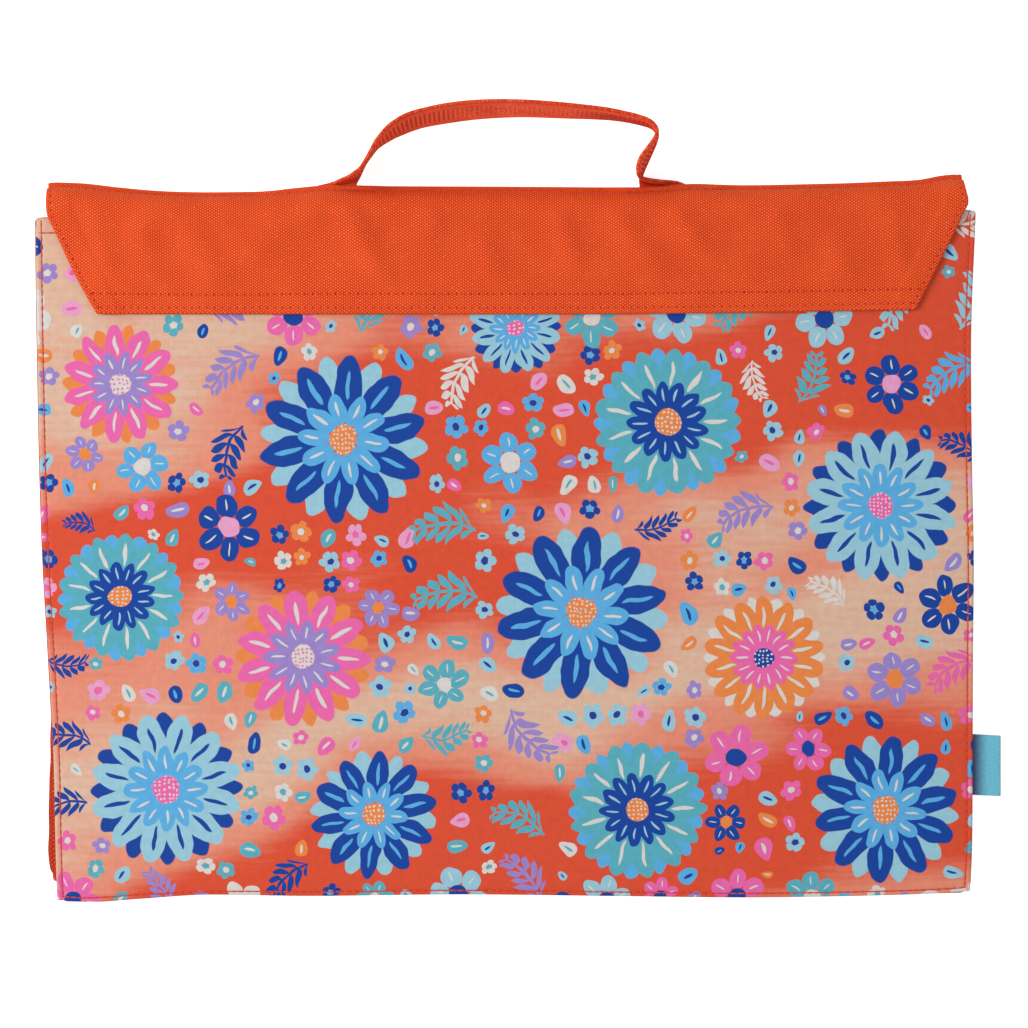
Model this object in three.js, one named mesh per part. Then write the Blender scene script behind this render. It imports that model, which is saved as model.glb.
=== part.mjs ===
// An empty library bag lying flat on its back, in millimetres.
// +X runs to the right across the bag, +Y from its bottom seam to its flap, +Z up from the surface
// that it lies on. The origin is on that surface, in the middle of the back panel.
import * as THREE from "three";

const { clamp, lerp, smoothstep } = THREE.MathUtils;

// Driving dimensions
const CLOTH = 1.2; // thickness of one layer of coated cloth
const HEM = 2.2; // thickness of the turned hem at the mouth
const HEM_DEPTH = 6; // from the mouth's edge down to the end of the hem
const FLAP_CLOTH = 1.8; // the flap is two layers
const WEBBING = 1.5; // thickness of the handle
const GAP = 0.3; // between two pieces that are sewn together
const FRONT_HEIGHT = 11.4; // middle of the front panel's cloth at its seams, above the surface
const CROWN = 1.8; // how much higher the front panel is in its middle
const SEAM_MARGIN = 2; // the front panel reaches this far beyond the gusset
const MOUTH_Y = 129; // the front panel's hem, on the bag's centre line
const MOUTH_SLOPE = 1.4 / 185; // the hem is a little higher on the right
const LABEL_WIDTH = 24;
const LABEL_REACH = 11.6; // the label stands this far out of the seam
const LABEL_Y = -88.3; // the middle of the label
const RIBBON = 0.5; // thickness of the label's folded ribbon

// A smooth line through the rows of a table: the other columns at any place along the first one.
function smoothTable(rows) {
  const [key, ...columns] = Object.keys(rows[0]);
  const places = rows.map((row) => row[key]);
  const values = rows.flatMap((row) => columns.map((column) => row[column]));
  const line = new THREE.CubicInterpolant(places, values, columns.length);
  return (place) => {
    const found = line.evaluate(clamp(place, places[0], places.at(-1)));
    return Object.fromEntries(columns.map((column, i) => [column, found[i]]));
  };
}

// Evenly spaced places from 0 to 1.
const spread = (steps) => Array.from({ length: steps + 1 }, (_, i) => i / steps);

// The direction square to the surface point(u, v).
function squareTo(point, u, v) {
  const step = 1e-3;
  const alongU = point(Math.min(u + step, 1), v).sub(point(Math.max(u - step, 0), v));
  const alongV = point(u, Math.min(v + step, 1)).sub(point(u, Math.max(v - step, 0)));
  return alongU.cross(alongV).normalize();
}

// A wall of cloth: the surface point(u, v) taken at the places us and vs, thickened to both sides
// along its own normal, or along a stated direction, and closed all round its rim.
function clothWall(point, us, vs, thickness, direction = squareTo) {
  const width = us.length;
  const height = vs.length;
  const positions = [];
  for (const side of [0.5, -0.5]) {
    for (const v of vs) {
      for (const u of us) {
        const reach = side * (typeof thickness === "function" ? thickness(u, v) : thickness);
        positions.push(...point(u, v).addScaledVector(direction(point, u, v), reach));
      }
    }
  }
  const upper = (i, j) => j * width + i;
  const lower = (i, j) => width * height + upper(i, j);
  const index = [];
  for (let j = 0; j < height - 1; j++) {
    for (let i = 0; i < width - 1; i++) {
      const [a, b, c, d] = [[i, j], [i + 1, j], [i + 1, j + 1], [i, j + 1]];
      index.push(upper(...a), upper(...b), upper(...c), upper(...a), upper(...c), upper(...d));
      index.push(lower(...a), lower(...c), lower(...b), lower(...a), lower(...d), lower(...c));
    }
  }
  const rim = [];
  for (let i = 0; i < width - 1; i++) rim.push([i, 0]);
  for (let j = 0; j < height - 1; j++) rim.push([width - 1, j]);
  for (let i = width - 1; i > 0; i--) rim.push([i, height - 1]);
  for (let j = height - 1; j > 0; j--) rim.push([0, j]);
  rim.forEach((here, k) => {
    const next = rim[(k + 1) % rim.length];
    index.push(upper(...here), lower(...here), lower(...next));
    index.push(upper(...here), lower(...next), upper(...next));
  });
  const geometry = new THREE.BufferGeometry();
  geometry.setAttribute("position", new THREE.Float32BufferAttribute(positions, 3));
  geometry.setIndex(index);
  geometry.computeVertexNormals();
  return geometry;
}

const orangeCloth = new THREE.MeshStandardMaterial({ color: 0xdd5028, roughness: 0.85 });
const printedCloth = new THREE.MeshStandardMaterial({ color: 0xe2866a, roughness: 0.8 });
const orangeWebbing = new THREE.MeshStandardMaterial({ color: 0xd24f38, roughness: 0.8 });
const tealSatin = new THREE.MeshStandardMaterial({ color: 0x4f8fa0, roughness: 0.45 });

const bag = new THREE.Group();
bag.name = "library_bag";

function addPiece(name, geometry, material) {
  const piece = new THREE.Mesh(geometry, material);
  piece.name = name;
  bag.add(piece);
}

// Outline of the two panels
// The left edges of the front and back panels at a height y. Low down the front panel has slid to
// the right, so the gusset shows beside it; bulge is how far the gusset swells outwards.
const leftSide = smoothTable([
  { y: -143, front: -177, back: -179.3, bulge: 2 },
  { y: -122, front: -177.7, back: -181, bulge: 3 },
  { y: -86, front: -178.5, back: -180.6, bulge: 2.4 },
  { y: -43, front: -180.7, back: -180.8, bulge: 0.6 },
  { y: -8, front: -182.7, back: -181, bulge: -1 },
  { y: 30, front: -184, back: -181.5, bulge: -2 },
  { y: 75, front: -184.9, back: -182, bulge: -2 },
  { y: 98, front: -185.3, back: -182.2, bulge: -2 },
  { y: 128, front: -185.6, back: -182.2, bulge: -1.5 },
  { y: 141, front: -185.6, back: -181.4, bulge: -1.5 },
]);

// The right edges, where the gusset folds inwards all the way.
const rightSide = smoothTable([
  { y: -143, front: 183.2, back: 180, bulge: -1 },
  { y: -122, front: 184.3, back: 181, bulge: -1.5 },
  { y: -86, front: 184.5, back: 181.5, bulge: -1.5 },
  { y: -43, front: 184.7, back: 182, bulge: -2 },
  { y: -8, front: 185, back: 182, bulge: -2.5 },
  { y: 30, front: 184.3, back: 181.5, bulge: -2 },
  { y: 75, front: 183.9, back: 181.5, bulge: -1.5 },
  { y: 98, front: 184.4, back: 181.8, bulge: -1.5 },
  { y: 128, front: 185.7, back: 182.4, bulge: -1.5 },
  { y: 141, front: 185.7, back: 181.4, bulge: -1.5 },
]);

// The bottom edges of both panels at a place x; the bottom seam runs in slow waves.
const bottom = smoothTable([
  { x: -185, front: -141.6, back: -135.2 },
  { x: -168, front: -142.6, back: -136 },
  { x: -148, front: -141.3, back: -136.6 },
  { x: -122, front: -139.8, back: -137 },
  { x: -80, front: -140.2, back: -137 },
  { x: -20, front: -139.6, back: -136.8 },
  { x: 40, front: -140.2, back: -137 },
  { x: 95, front: -140.8, back: -137.2 },
  { x: 140, front: -140.2, back: -137 },
  { x: 170, front: -139.3, back: -136.4 },
  { x: 185, front: -138.4, back: -135.4 },
]);

// The top edge of the back panel, which is the outer edge of the pinched seam.
const ridge = smoothTable([
  { x: -182, y: 142.7 },
  { x: -168, y: 142.2 },
  { x: -154, y: 140.6 },
  { x: -140, y: 139.3 },
  { x: -126, y: 138.7 },
  { x: -108, y: 138.7 },
  { x: -93, y: 139.1 },
  { x: -84, y: 140.1 },
  { x: -70, y: 141.3 },
  { x: -54, y: 141.1 },
  { x: -6, y: 140.9 },
  { x: 38, y: 140.6 },
  { x: 54, y: 140.5 },
  { x: 74, y: 141.8 },
  { x: 86, y: 141.5 },
  { x: 102, y: 141.5 },
  { x: 120, y: 141.9 },
  { x: 136, y: 142.3 },
  { x: 152, y: 143 },
  { x: 164, y: 143.6 },
  { x: 174, y: 145.4 },
  { x: 182, y: 146 },
]);

const mouthAt = (x) => MOUTH_Y + MOUTH_SLOPE * x;

// Back panel: lies flat on the surface, from the bottom seam to the pinched seam. Its lower and
// upper edges are read at places spread over its mean width.
const BACK_HALF_WIDTH = 181;

function backPoint(u, v) {
  const x0 = lerp(-BACK_HALF_WIDTH, BACK_HALF_WIDTH, u);
  const y = lerp(bottom(x0).back, ridge(x0).y, v);
  return new THREE.Vector3(lerp(leftSide(y).back, rightSide(y).back, u), y, CLOTH / 2);
}

addPiece("back_panel", clothWall(backPoint, spread(28), spread(12), CLOTH), orangeCloth);

// Front panel: held up by the collapsed gusset at its seams, a little higher in the middle, with
// the soft hollows that an empty bag has.
const HOLLOWS = [
  { x: -120, y: -96, across: 60, along: 16, depth: 0.7 },
  { x: -20, y: -70, across: 70, along: 22, depth: 0.6 },
  { x: 90, y: -105, across: 55, along: 16, depth: 0.6 },
  { x: 120, y: 10, across: 30, along: 60, depth: 0.6 },
  { x: -130, y: 20, across: 28, along: 60, depth: 0.5 },
  { x: 10, y: 40, across: 80, along: 24, depth: 0.4 },
];

function frontHeight(x, y) {
  const left = leftSide(y).front;
  const right = rightSide(y).front;
  const u = clamp((x - left) / (right - left), 0, 1);
  const v = clamp((y - bottom(x).front) / (mouthAt(x) - bottom(x).front), 0, 1);
  const lift = (1 - Math.abs(2 * u - 1) ** 4) * (1 - Math.abs(2 * v - 1) ** 6);
  const hollow = HOLLOWS.reduce((sum, dent) => {
    const away = ((x - dent.x) / dent.across) ** 2 + ((y - dent.y) / dent.along) ** 2;
    return sum + dent.depth * Math.exp(-away);
  }, 0);
  return FRONT_HEIGHT + lift * (CROWN - hollow);
}

// Its lower edge and its hem are read at places spread over its mean width.
const FRONT_LEFT = -181;
const FRONT_RIGHT = 185;

function frontPoint(u, v) {
  const x0 = lerp(FRONT_LEFT, FRONT_RIGHT, u);
  const y = lerp(bottom(x0).front, mouthAt(x0), v);
  const x = lerp(leftSide(y).front, rightSide(y).front, u);
  return new THREE.Vector3(x, y, frontHeight(x, y));
}

const FRONT_LENGTH = 269; // from the bottom edge to the mouth
const hemStart = 1 - HEM_DEPTH / FRONT_LENGTH;
const frontRows = [...spread(16).map((v) => v * (hemStart - 0.004)), hemStart, 1];
const frontThickness = (u, v) => (v >= hemStart ? HEM : CLOTH);
addPiece("front_panel", clothWall(frontPoint, spread(30), frontRows, frontThickness), printedCloth);

// Gusset: one strip from the mouth down the left side, along the bottom and up the right side,
// between the two panels. head is its edge under the front panel, foot its edge on the back panel,
// out the level direction away from the bag.
const GUSSET_FOOT = CLOTH + GAP;
const HEAD_UNDER_CLOTH = FRONT_HEIGHT - CLOTH / 2 - GAP;
const HEAD_UNDER_HEM = FRONT_HEIGHT - HEM / 2 - GAP;
const GUSSET_INSET = SEAM_MARGIN + CLOTH / 2;
const BOTTOM_BULGE = -0.8; // along the bottom the strip folds inwards a little
const CORNER = 5; // radius of the strip's two bottom corners, seen from above

function sideStation(y, outX) {
  const edge = outX < 0 ? leftSide(y) : rightSide(y);
  const underHem = y > mouthAt(edge.front) - HEM_DEPTH - 2.5;
  return {
    outX,
    outY: 0,
    headX: edge.front - outX * GUSSET_INSET,
    headY: y,
    headZ: underHem ? HEAD_UNDER_HEM : HEAD_UNDER_CLOTH,
    footX: edge.back - outX * CLOTH,
    footY: y,
    bulge: edge.bulge,
  };
}

function bottomStation(x) {
  const edge = bottom(x);
  return {
    outX: 0,
    outY: -1,
    headX: x,
    headY: edge.front + GUSSET_INSET,
    headZ: HEAD_UNDER_CLOTH,
    footX: x,
    footY: edge.back + CLOTH,
    bulge: BOTTOM_BULGE,
  };
}

// A quarter turn from a side to the bottom; share is 0 at the side and 1 at the bottom.
function cornerStation(side, low, share) {
  const outX = side.outX * Math.cos((share * Math.PI) / 2);
  const outY = -Math.sin((share * Math.PI) / 2);
  return {
    outX,
    outY,
    headX: side.headX + CORNER * (outX - side.outX),
    headY: low.headY + CORNER * (1 + outY),
    headZ: HEAD_UNDER_CLOTH,
    footX: side.footX + CORNER * (outX - side.outX),
    footY: low.footY + CORNER * (1 + outY),
    bulge: lerp(side.bulge, low.bulge, share),
  };
}

// Heights down one side: two close together under the hem, then evenly spaced.
const sideHeights = (mouth, low) => [
  mouth - 0.6,
  mouth - HEM_DEPTH - 2,
  ...spread(12).map((share) => lerp(mouth - HEM_DEPTH - 5, low, share)),
];
const cornerShares = spread(5).slice(1, -1);
const HALF_WIDTH = 185;
const LEFT_TURN = { sideY: -133, bottomX: -170, clear: 7 }; // clear is how far off the straight runs end
const RIGHT_TURN = { sideY: -130, bottomX: 174, clear: 6 };
const leftTurn = [sideStation(LEFT_TURN.sideY, -1), bottomStation(LEFT_TURN.bottomX)];
const rightTurn = [sideStation(RIGHT_TURN.sideY, 1), bottomStation(RIGHT_TURN.bottomX)];
const leftHeights = sideHeights(mouthAt(-HALF_WIDTH), LEFT_TURN.sideY + LEFT_TURN.clear);
const rightHeights = sideHeights(mouthAt(HALF_WIDTH), RIGHT_TURN.sideY + RIGHT_TURN.clear);
const bottomFrom = LEFT_TURN.bottomX + LEFT_TURN.clear;
const bottomTo = RIGHT_TURN.bottomX - RIGHT_TURN.clear;
const gussetStations = [
  ...leftHeights.map((y) => sideStation(y, -1)),
  ...cornerShares.map((share) => cornerStation(...leftTurn, share)),
  ...spread(20).map((share) => bottomStation(lerp(bottomFrom, bottomTo, share))),
  ...cornerShares.toReversed().map((share) => cornerStation(...rightTurn, share)),
  ...rightHeights.toReversed().map((y) => sideStation(y, 1)),
];
const gussetRun = smoothTable(gussetStations.map((station, i) => ({ at: i, ...station })));

function gussetPoint(u, v) {
  const at = gussetRun(u * (gussetStations.length - 1));
  const swell = at.bulge * Math.sin(Math.PI * v);
  return new THREE.Vector3(
    lerp(at.footX, at.headX, v) + at.outX * swell,
    lerp(at.footY, at.headY, v) + at.outY * swell,
    lerp(GUSSET_FOOT, at.headZ, v),
  );
}

// The strip is thickened level, so that its head and foot stay square to the panels.
function gussetOutward(point, u) {
  const at = gussetRun(u * (gussetStations.length - 1));
  return new THREE.Vector3(at.outX, at.outY, 0).normalize();
}

const gussetPlaces = spread(gussetStations.length - 1);
addPiece("gusset", clothWall(gussetPoint, gussetPlaces, spread(5), CLOTH, gussetOutward), orangeCloth);

// Flap: pinched with the back panel in the top seam, rolled up and over the mouth, then lying on
// the front panel. back is the distance from the seam's outer edge towards the bag's bottom, and
// height is above the surface, both at a distance along the cloth.
const FLAP_DROP = 51; // from the seam's outer edge to the flap's free edge
const LIES_FROM = 32; // from here on along the cloth the flap lies on the front panel
const FLAP_LENGTH = 61;
const SEAM_HEIGHT = CLOTH + GAP + FLAP_CLOTH / 2;
const SEAM_DEPTH = 2.4; // from the seam's outer edge to its stitches
const roll = smoothTable([
  { along: 0, back: 0, height: SEAM_HEIGHT },
  { along: SEAM_DEPTH, back: SEAM_DEPTH, height: SEAM_HEIGHT },
  { along: 4.4, back: 3.7, height: 4 },
  { along: 7.4, back: 3.4, height: 7.1 },
  { along: 10.9, back: 3.7, height: 10.5 },
  { along: 14.8, back: 5.9, height: 13.6 },
  { along: 19.2, back: 9.7, height: 15.1 },
  { along: 25.2, back: 15.2, height: 14.7 },
  { along: LIES_FROM, back: 22, height: 13.9 },
  { along: FLAP_LENGTH, back: FLAP_DROP, height: 13.6 },
]);

// The flap's slanting sides and its free edge.
const flapSides = smoothTable([
  { back: 0, left: -182.2, right: 181.6 },
  { back: 4, left: -181.5, right: 181.4 },
  { back: 7.6, left: -181.2, right: 181.7 },
  { back: 10, left: -181, right: 182.2 },
  { back: 12.2, left: -180.8, right: 182.2 },
  { back: 14, left: -180.4, right: 181.2 },
  { back: 20, left: -177.4, right: 178.2 },
  { back: 36, left: -169.6, right: 169.6 },
  { back: FLAP_DROP, left: -161, right: 161.6 },
]);
const flapEdge = smoothTable([
  { x: -182, y: 89.6 },
  { x: -60, y: 89.4 },
  { x: 60, y: 89.6 },
  { x: 182, y: 91.6 },
]);

// Soft folds in the flap: each is a ridge along a line from x, y to toX, toY, with a half width,
// and it fades at both ends.
const FLAP_FOLDS = [
  { x: -66, y: 136, toX: -46, toY: 99, width: 5.5, rise: 1.9 },
  { x: -70, y: 135, toX: -111, toY: 107, width: 6.5, rise: 1.5 },
  { x: 42, y: 129, toX: 60, toY: 108, width: 5.5, rise: 1.6 },
  { x: 65, y: 133, toX: 80, toY: 112, width: 5.5, rise: 1.8 },
  { x: -144, y: 125, toX: -139.5, toY: 106, width: 6, rise: 1.4 },
  { x: -127, y: 124, toX: -112, toY: 105, width: 6, rise: 1.3 },
  { x: -30, y: 131, toX: -27, toY: 122, width: 6, rise: 1.3 },
  { x: 20, y: 129, toX: 28, toY: 109, width: 5.5, rise: 1.5 },
  { x: 105, y: 131, toX: 112, toY: 115, width: 5.5, rise: 1.4 },
  { x: -9, y: 120, toX: -4.5, toY: 105, width: 5.5, rise: 1.2 },
  { x: 129, y: 120, toX: 134, toY: 106, width: 6, rise: 1.2 },
  { x: -162, y: 132, toX: -157.5, toY: 106, width: 5, rise: 1.1 },
  { x: 152, y: 126, toX: 157, toY: 104, width: 5.5, rise: 1.2 },
];

function foldRise(x, y) {
  return FLAP_FOLDS.reduce((sum, fold) => {
    const runX = fold.toX - fold.x;
    const runY = fold.toY - fold.y;
    const length = Math.hypot(runX, runY);
    const share = ((x - fold.x) * runX + (y - fold.y) * runY) / length ** 2;
    const aside = ((x - fold.x) * runY - (y - fold.y) * runX) / (length * fold.width);
    const fade = smoothstep(share, -0.3, 0.25) * (1 - smoothstep(share, 0.7, 1.4));
    return sum + fold.rise * Math.exp(-aside * aside) * fade;
  }, 0);
}

// Where the handle's ends lie in the seam, the flap rises over the webbing.
const HANDLE_ENDS = [-72.4, 66];
const RAISED = 17; // to each side of an end's middle
const LEVEL_AGAIN = 28;
const overWebbing = (x) =>
  HANDLE_ENDS.reduce((sum, end) => sum + 1 - smoothstep(Math.abs(x - end), RAISED, LEVEL_AGAIN), 0);

function flapPoint(u, v) {
  const along = v * FLAP_LENGTH;
  const place = roll(along);
  const side = flapSides(place.back);
  const x = lerp(side.left, side.right, u);
  const top = ridge(x).y;
  const y = top - (place.back * (top - flapEdge(x).y)) / FLAP_DROP;
  const atSeam = 1 - smoothstep(along, SEAM_DEPTH, 9);
  const rolled = place.height + (WEBBING + 1.5 * GAP) * overWebbing(x) * atSeam;
  const under = lerp(CLOTH, HEM, smoothstep(y, mouthAt(x) - 14, mouthAt(x) - HEM_DEPTH - 1)) / 2;
  const lying = frontHeight(x, y) + under + GAP + FLAP_CLOTH / 2;
  const loose = smoothstep(along, 14, 24) * (1 - 0.85 * smoothstep(along, 44, 56));
  const z = lerp(rolled, lying, smoothstep(along, 21, LIES_FROM)) + foldRise(x, y) * loose;
  return new THREE.Vector3(x, y, z);
}

// Places along the cloth: close together in the roll, wider apart where the flap lies flat.
const rollPlaces = [0, 1.2, SEAM_DEPTH, 3.4, 4.4, 5.8, 7.4, 9.2, 10.9, 12.8, 14.8, 17, 19.2, 22, 25, 28.5];
const lyingPlaces = spread(5).map((share) => lerp(LIES_FROM, FLAP_LENGTH, share));
const flapRows = [...rollPlaces, ...lyingPlaces].map((along) => along / FLAP_LENGTH);
addPiece("flap", clothWall(flapPoint, spread(50), flapRows, FLAP_CLOTH), orangeCloth);

// Handle: webbing from the seam on the left, up on its edge, round the arch, and back into the
// seam on the right. foot is its lower edge and top its upper edge, a webbing's width apart except
// where it is gathered as it turns out of the seam.
const IN_SEAM = CLOTH + GAP + WEBBING / 2;
const HANDLE_PATH = [
  { footX: -59.9, footY: 136.4, footZ: IN_SEAM, topX: -84.9, topY: 136.4, topZ: IN_SEAM },
  { footX: -59.9, footY: 138.6, footZ: IN_SEAM, topX: -84.6, topY: 138.4, topZ: IN_SEAM },
  { footX: -59.8, footY: 140, footZ: 2.2, topX: -78.5, topY: 139.8, topZ: IN_SEAM },
  { footX: -59.7, footY: 141.4, footZ: 1.9, topX: -69.6, topY: 141.9, topZ: 2.35 },
  { footX: -59.4, footY: 142.6, footZ: 1.4, topX: -65.4, topY: 143.2, topZ: 7 },
  { footX: -58.9, footY: 143.6, footZ: 1.1, topX: -62.2, topY: 143.9, topZ: 13 },
  { footX: -58.2, footY: 145, footZ: 0.9, topX: -59.4, topY: 144.9, topZ: 19.8 },
  { footX: -57.3, footY: 147.1, footZ: 0.9, topX: -56.8, topY: 146.4, topZ: 24.2 },
  { footX: -55.7, footY: 150.3, footZ: 0.9, topX: -54.9, topY: 149, topZ: 25.8 },
  { footX: -53.4, footY: 153.5, footZ: 0.9, topX: -52.6, topY: 153.2, topZ: 25.9 },
  { footX: -50.5, footY: 156.8, footZ: 0.9, topX: -50.3, topY: 157.4, topZ: 25.9 },
  { footX: -45.1, footY: 160.1, footZ: 0.9, topX: -46.4, topY: 162.2, topZ: 25.8 },
  { footX: -41.5, footY: 161.7, footZ: 0.9, topX: -42.8, topY: 165, topZ: 25.7 },
  { footX: -37.5, footY: 163.3, footZ: 0.9, topX: -38.2, topY: 167.5, topZ: 25.6 },
  { footX: -31.9, footY: 165, footZ: 0.9, topX: -32, topY: 169.3, topZ: 25.5 },
  { footX: -22.6, footY: 166.6, footZ: 0.9, topX: -22.3, topY: 171.3, topZ: 25.5 },
  { footX: -10.3, footY: 168.2, footZ: 0.9, topX: -9.8, topY: 172.5, topZ: 25.5 },
  { footX: 5.7, footY: 169, footZ: 0.9, topX: 6, topY: 172.5, topZ: 25.6 },
  { footX: 21.7, footY: 168.6, footZ: 0.9, topX: 21.8, topY: 171.4, topZ: 25.7 },
  { footX: 37.6, footY: 168.1, footZ: 0.9, topX: 37.6, topY: 169.6, topZ: 25.8 },
  { footX: 45.6, footY: 167.4, footZ: 0.9, topX: 45.6, topY: 168.1, topZ: 25.9 },
  { footX: 53.4, footY: 165.9, footZ: 0.9, topX: 53.4, topY: 166.1, topZ: 25.9 },
  { footX: 58, footY: 164.4, footZ: 0.9, topX: 57.4, topY: 164.1, topZ: 25.9 },
  { footX: 60.3, footY: 162, footZ: 0.9, topX: 59.3, topY: 161.2, topZ: 25.9 },
  { footX: 59.9, footY: 158.9, footZ: 0.9, topX: 58.6, topY: 158.3, topZ: 25.9 },
  { footX: 58.5, footY: 155.3, footZ: 0.9, topX: 55.6, topY: 154.1, topZ: 25.7 },
  { footX: 57, footY: 151.9, footZ: 0.9, topX: 52.9, topY: 150.4, topZ: 25.5 },
  { footX: 55.4, footY: 148.4, footZ: 0.9, topX: 51.8, topY: 147.2, topZ: 25.6 },
  { footX: 54.3, footY: 145.6, footZ: 0.9, topX: 51.8, topY: 144.9, topZ: 25.8 },
  { footX: 53.9, footY: 143.9, footZ: 1.1, topX: 52.4, topY: 143.6, topZ: 21 },
  { footX: 53.7, footY: 142.8, footZ: 1.5, topX: 55.6, topY: 142.9, topZ: 13.5 },
  { footX: 53.6, footY: 141.9, footZ: 1.8, topX: 62.4, topY: 142.5, topZ: 7.6 },
  { footX: 53.5, footY: 141, footZ: 2.1, topX: 68.6, topY: 142.4, topZ: 2.4 },
  { footX: 53.5, footY: 139.9, footZ: IN_SEAM, topX: 73.5, topY: 140.5, topZ: 2.3 },
  { footX: 53.5, footY: 138.4, footZ: IN_SEAM, topX: 78.3, topY: 138.6, topZ: IN_SEAM },
  { footX: 53.5, footY: 136.6, footZ: IN_SEAM, topX: 78.5, topY: 136.6, topZ: IN_SEAM },
];
const handleRun = smoothTable(HANDLE_PATH.map((row, i) => ({ at: i, ...row })));

function handlePoint(u, v) {
  const at = handleRun(u * (HANDLE_PATH.length - 1));
  return new THREE.Vector3(
    lerp(at.footX, at.topX, v),
    lerp(at.footY, at.topY, v),
    lerp(at.footZ, at.topZ, v),
  );
}

const handlePlaces = spread((HANDLE_PATH.length - 1) * 2);
addPiece("handle", clothWall(handlePoint, handlePlaces, spread(3), WEBBING), orangeWebbing);

// Side label: a ribbon folded double, its ends under the front panel's edge against the gusset.
const labelRoot = rightSide(LABEL_Y).front - SEAM_MARGIN + GAP;
const labelTop = FRONT_HEIGHT - CLOTH / 2 - GAP - RIBBON / 2;
const FOLD = 0.55; // half the distance between the ribbon's two layers
const LABEL_SAG = 1.2; // how far its folded end hangs below its root
const LABEL_TILT = 0.055; // how far it slants down the bag for each millimetre out

function labelPoint(u, v) {
  const straight = SEAM_MARGIN - GAP + LABEL_REACH - FOLD - RIBBON / 2;
  const round = Math.PI * FOLD;
  const along = v * (2 * straight + round);
  const turn = clamp((along - straight) / round, 0, 1) * Math.PI;
  const level = clamp(Math.min(along, 2 * straight + round - along), 0, straight);
  const out = level + FOLD * Math.sin(turn);
  const y = LABEL_Y + lerp(-0.5, 0.5, u) * LABEL_WIDTH - LABEL_TILT * out;
  const sag = LABEL_SAG * (out / straight) ** 2;
  return new THREE.Vector3(labelRoot + out, y, labelTop - FOLD * (1 - Math.cos(turn)) - sag);
}

const labelStraight = 0.46;
const labelRows = [0, 0.15, 0.3, labelStraight, 0.475, 0.49, 0.51, 0.525, 1 - labelStraight, 0.7, 0.85, 1];
addPiece("side_label", clothWall(labelPoint, spread(4), labelRows, RIBBON), tealSatin);

export default bag;
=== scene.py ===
import bpy
import numpy as np
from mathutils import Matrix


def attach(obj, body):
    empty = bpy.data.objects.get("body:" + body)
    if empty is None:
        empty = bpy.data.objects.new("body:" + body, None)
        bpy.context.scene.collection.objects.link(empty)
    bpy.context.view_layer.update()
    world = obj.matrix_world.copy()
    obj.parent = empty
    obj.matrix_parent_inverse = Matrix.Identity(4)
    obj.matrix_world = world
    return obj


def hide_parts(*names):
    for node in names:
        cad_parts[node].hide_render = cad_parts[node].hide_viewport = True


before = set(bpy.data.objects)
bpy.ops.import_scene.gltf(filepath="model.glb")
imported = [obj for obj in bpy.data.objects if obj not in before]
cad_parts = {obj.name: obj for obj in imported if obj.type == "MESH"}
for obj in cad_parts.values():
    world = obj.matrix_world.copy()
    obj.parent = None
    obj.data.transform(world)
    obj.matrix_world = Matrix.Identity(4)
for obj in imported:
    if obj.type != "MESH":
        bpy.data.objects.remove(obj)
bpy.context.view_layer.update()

# Studio
# A white floor, one large soft light from the left, an even white surround, and a camera that
# looks straight down on the bag. The floor is lightened where it is seen, as a lit sweep is.
IMAGE_WIDTH = 1028  # pixels
PIXEL = 0.395  # millimetres of the front panel to one pixel
PANEL_TOP = 12.0  # the height at which that holds
CAMERA_HEIGHT = 1500.0
VIEW_CENTRE = (3.36, 10.67)  # across and up
SENSOR = 36.0  # the camera's film width
SURROUND = 0.7
KEY_POWER = 26.0  # watts
KEY_PLACE = (-1.3, 0.2, 1.4)  # metres
KEY_SIZE = 1.0  # metres
FLOOR_GLOW = 0.72
FLOOR_REACH = 4.0  # metres to each side
FLOOR_LEVEL = -0.0004  # metres
FLOOR_SHADE = (0.85, 0.85, 0.85, 1)
WHITE = (1, 1, 1, 1)


def paint(red, green, blue):
    """A shade given in steps from 0 to 255, as the linear colour that shaders take."""
    steps = np.array((red, green, blue)) / 255
    linear = np.where(steps <= 0.04045, steps / 12.92, ((steps + 0.055) / 1.055) ** 2.4)
    return (*linear.tolist(), 1.0)


def new_material(name):
    """A material with its node tree and its Principled shader."""
    material = bpy.data.materials.new(name)
    material.use_nodes = True
    return material, material.node_tree, material.node_tree.nodes["Principled BSDF"]


def put_in_scene(name, data):
    """An object at the origin, linked to the scene."""
    piece = bpy.data.objects.new(name, data)
    bpy.context.collection.objects.link(piece)
    return piece


camera_data = bpy.data.cameras.new("camera")
camera_data.sensor_width = SENSOR
camera_data.lens = SENSOR * (CAMERA_HEIGHT - PANEL_TOP) / (IMAGE_WIDTH * PIXEL)
camera = put_in_scene("camera", camera_data)
camera.location = (VIEW_CENTRE[0] / 1000, VIEW_CENTRE[1] / 1000, CAMERA_HEIGHT / 1000)
bpy.context.scene.camera = camera
bpy.context.scene.view_settings.view_transform = "Standard"

key_data = bpy.data.lights.new("key light", "AREA")
key_data.energy = KEY_POWER
key_data.size = KEY_SIZE
key = put_in_scene("key light", key_data)
key.location = KEY_PLACE
toward = -np.array(KEY_PLACE)
key.rotation_euler = (
    float(np.arccos(-toward[2] / np.linalg.norm(toward))),
    0.0,
    float(np.arctan2(toward[1], toward[0]) - np.pi / 2),
)

world = bpy.data.worlds.new("white surround")
bpy.context.scene.world = world
world.use_nodes = True
surround = world.node_tree.nodes["Background"]
surround.inputs["Color"].default_value = WHITE
surround.inputs["Strength"].default_value = SURROUND

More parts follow.
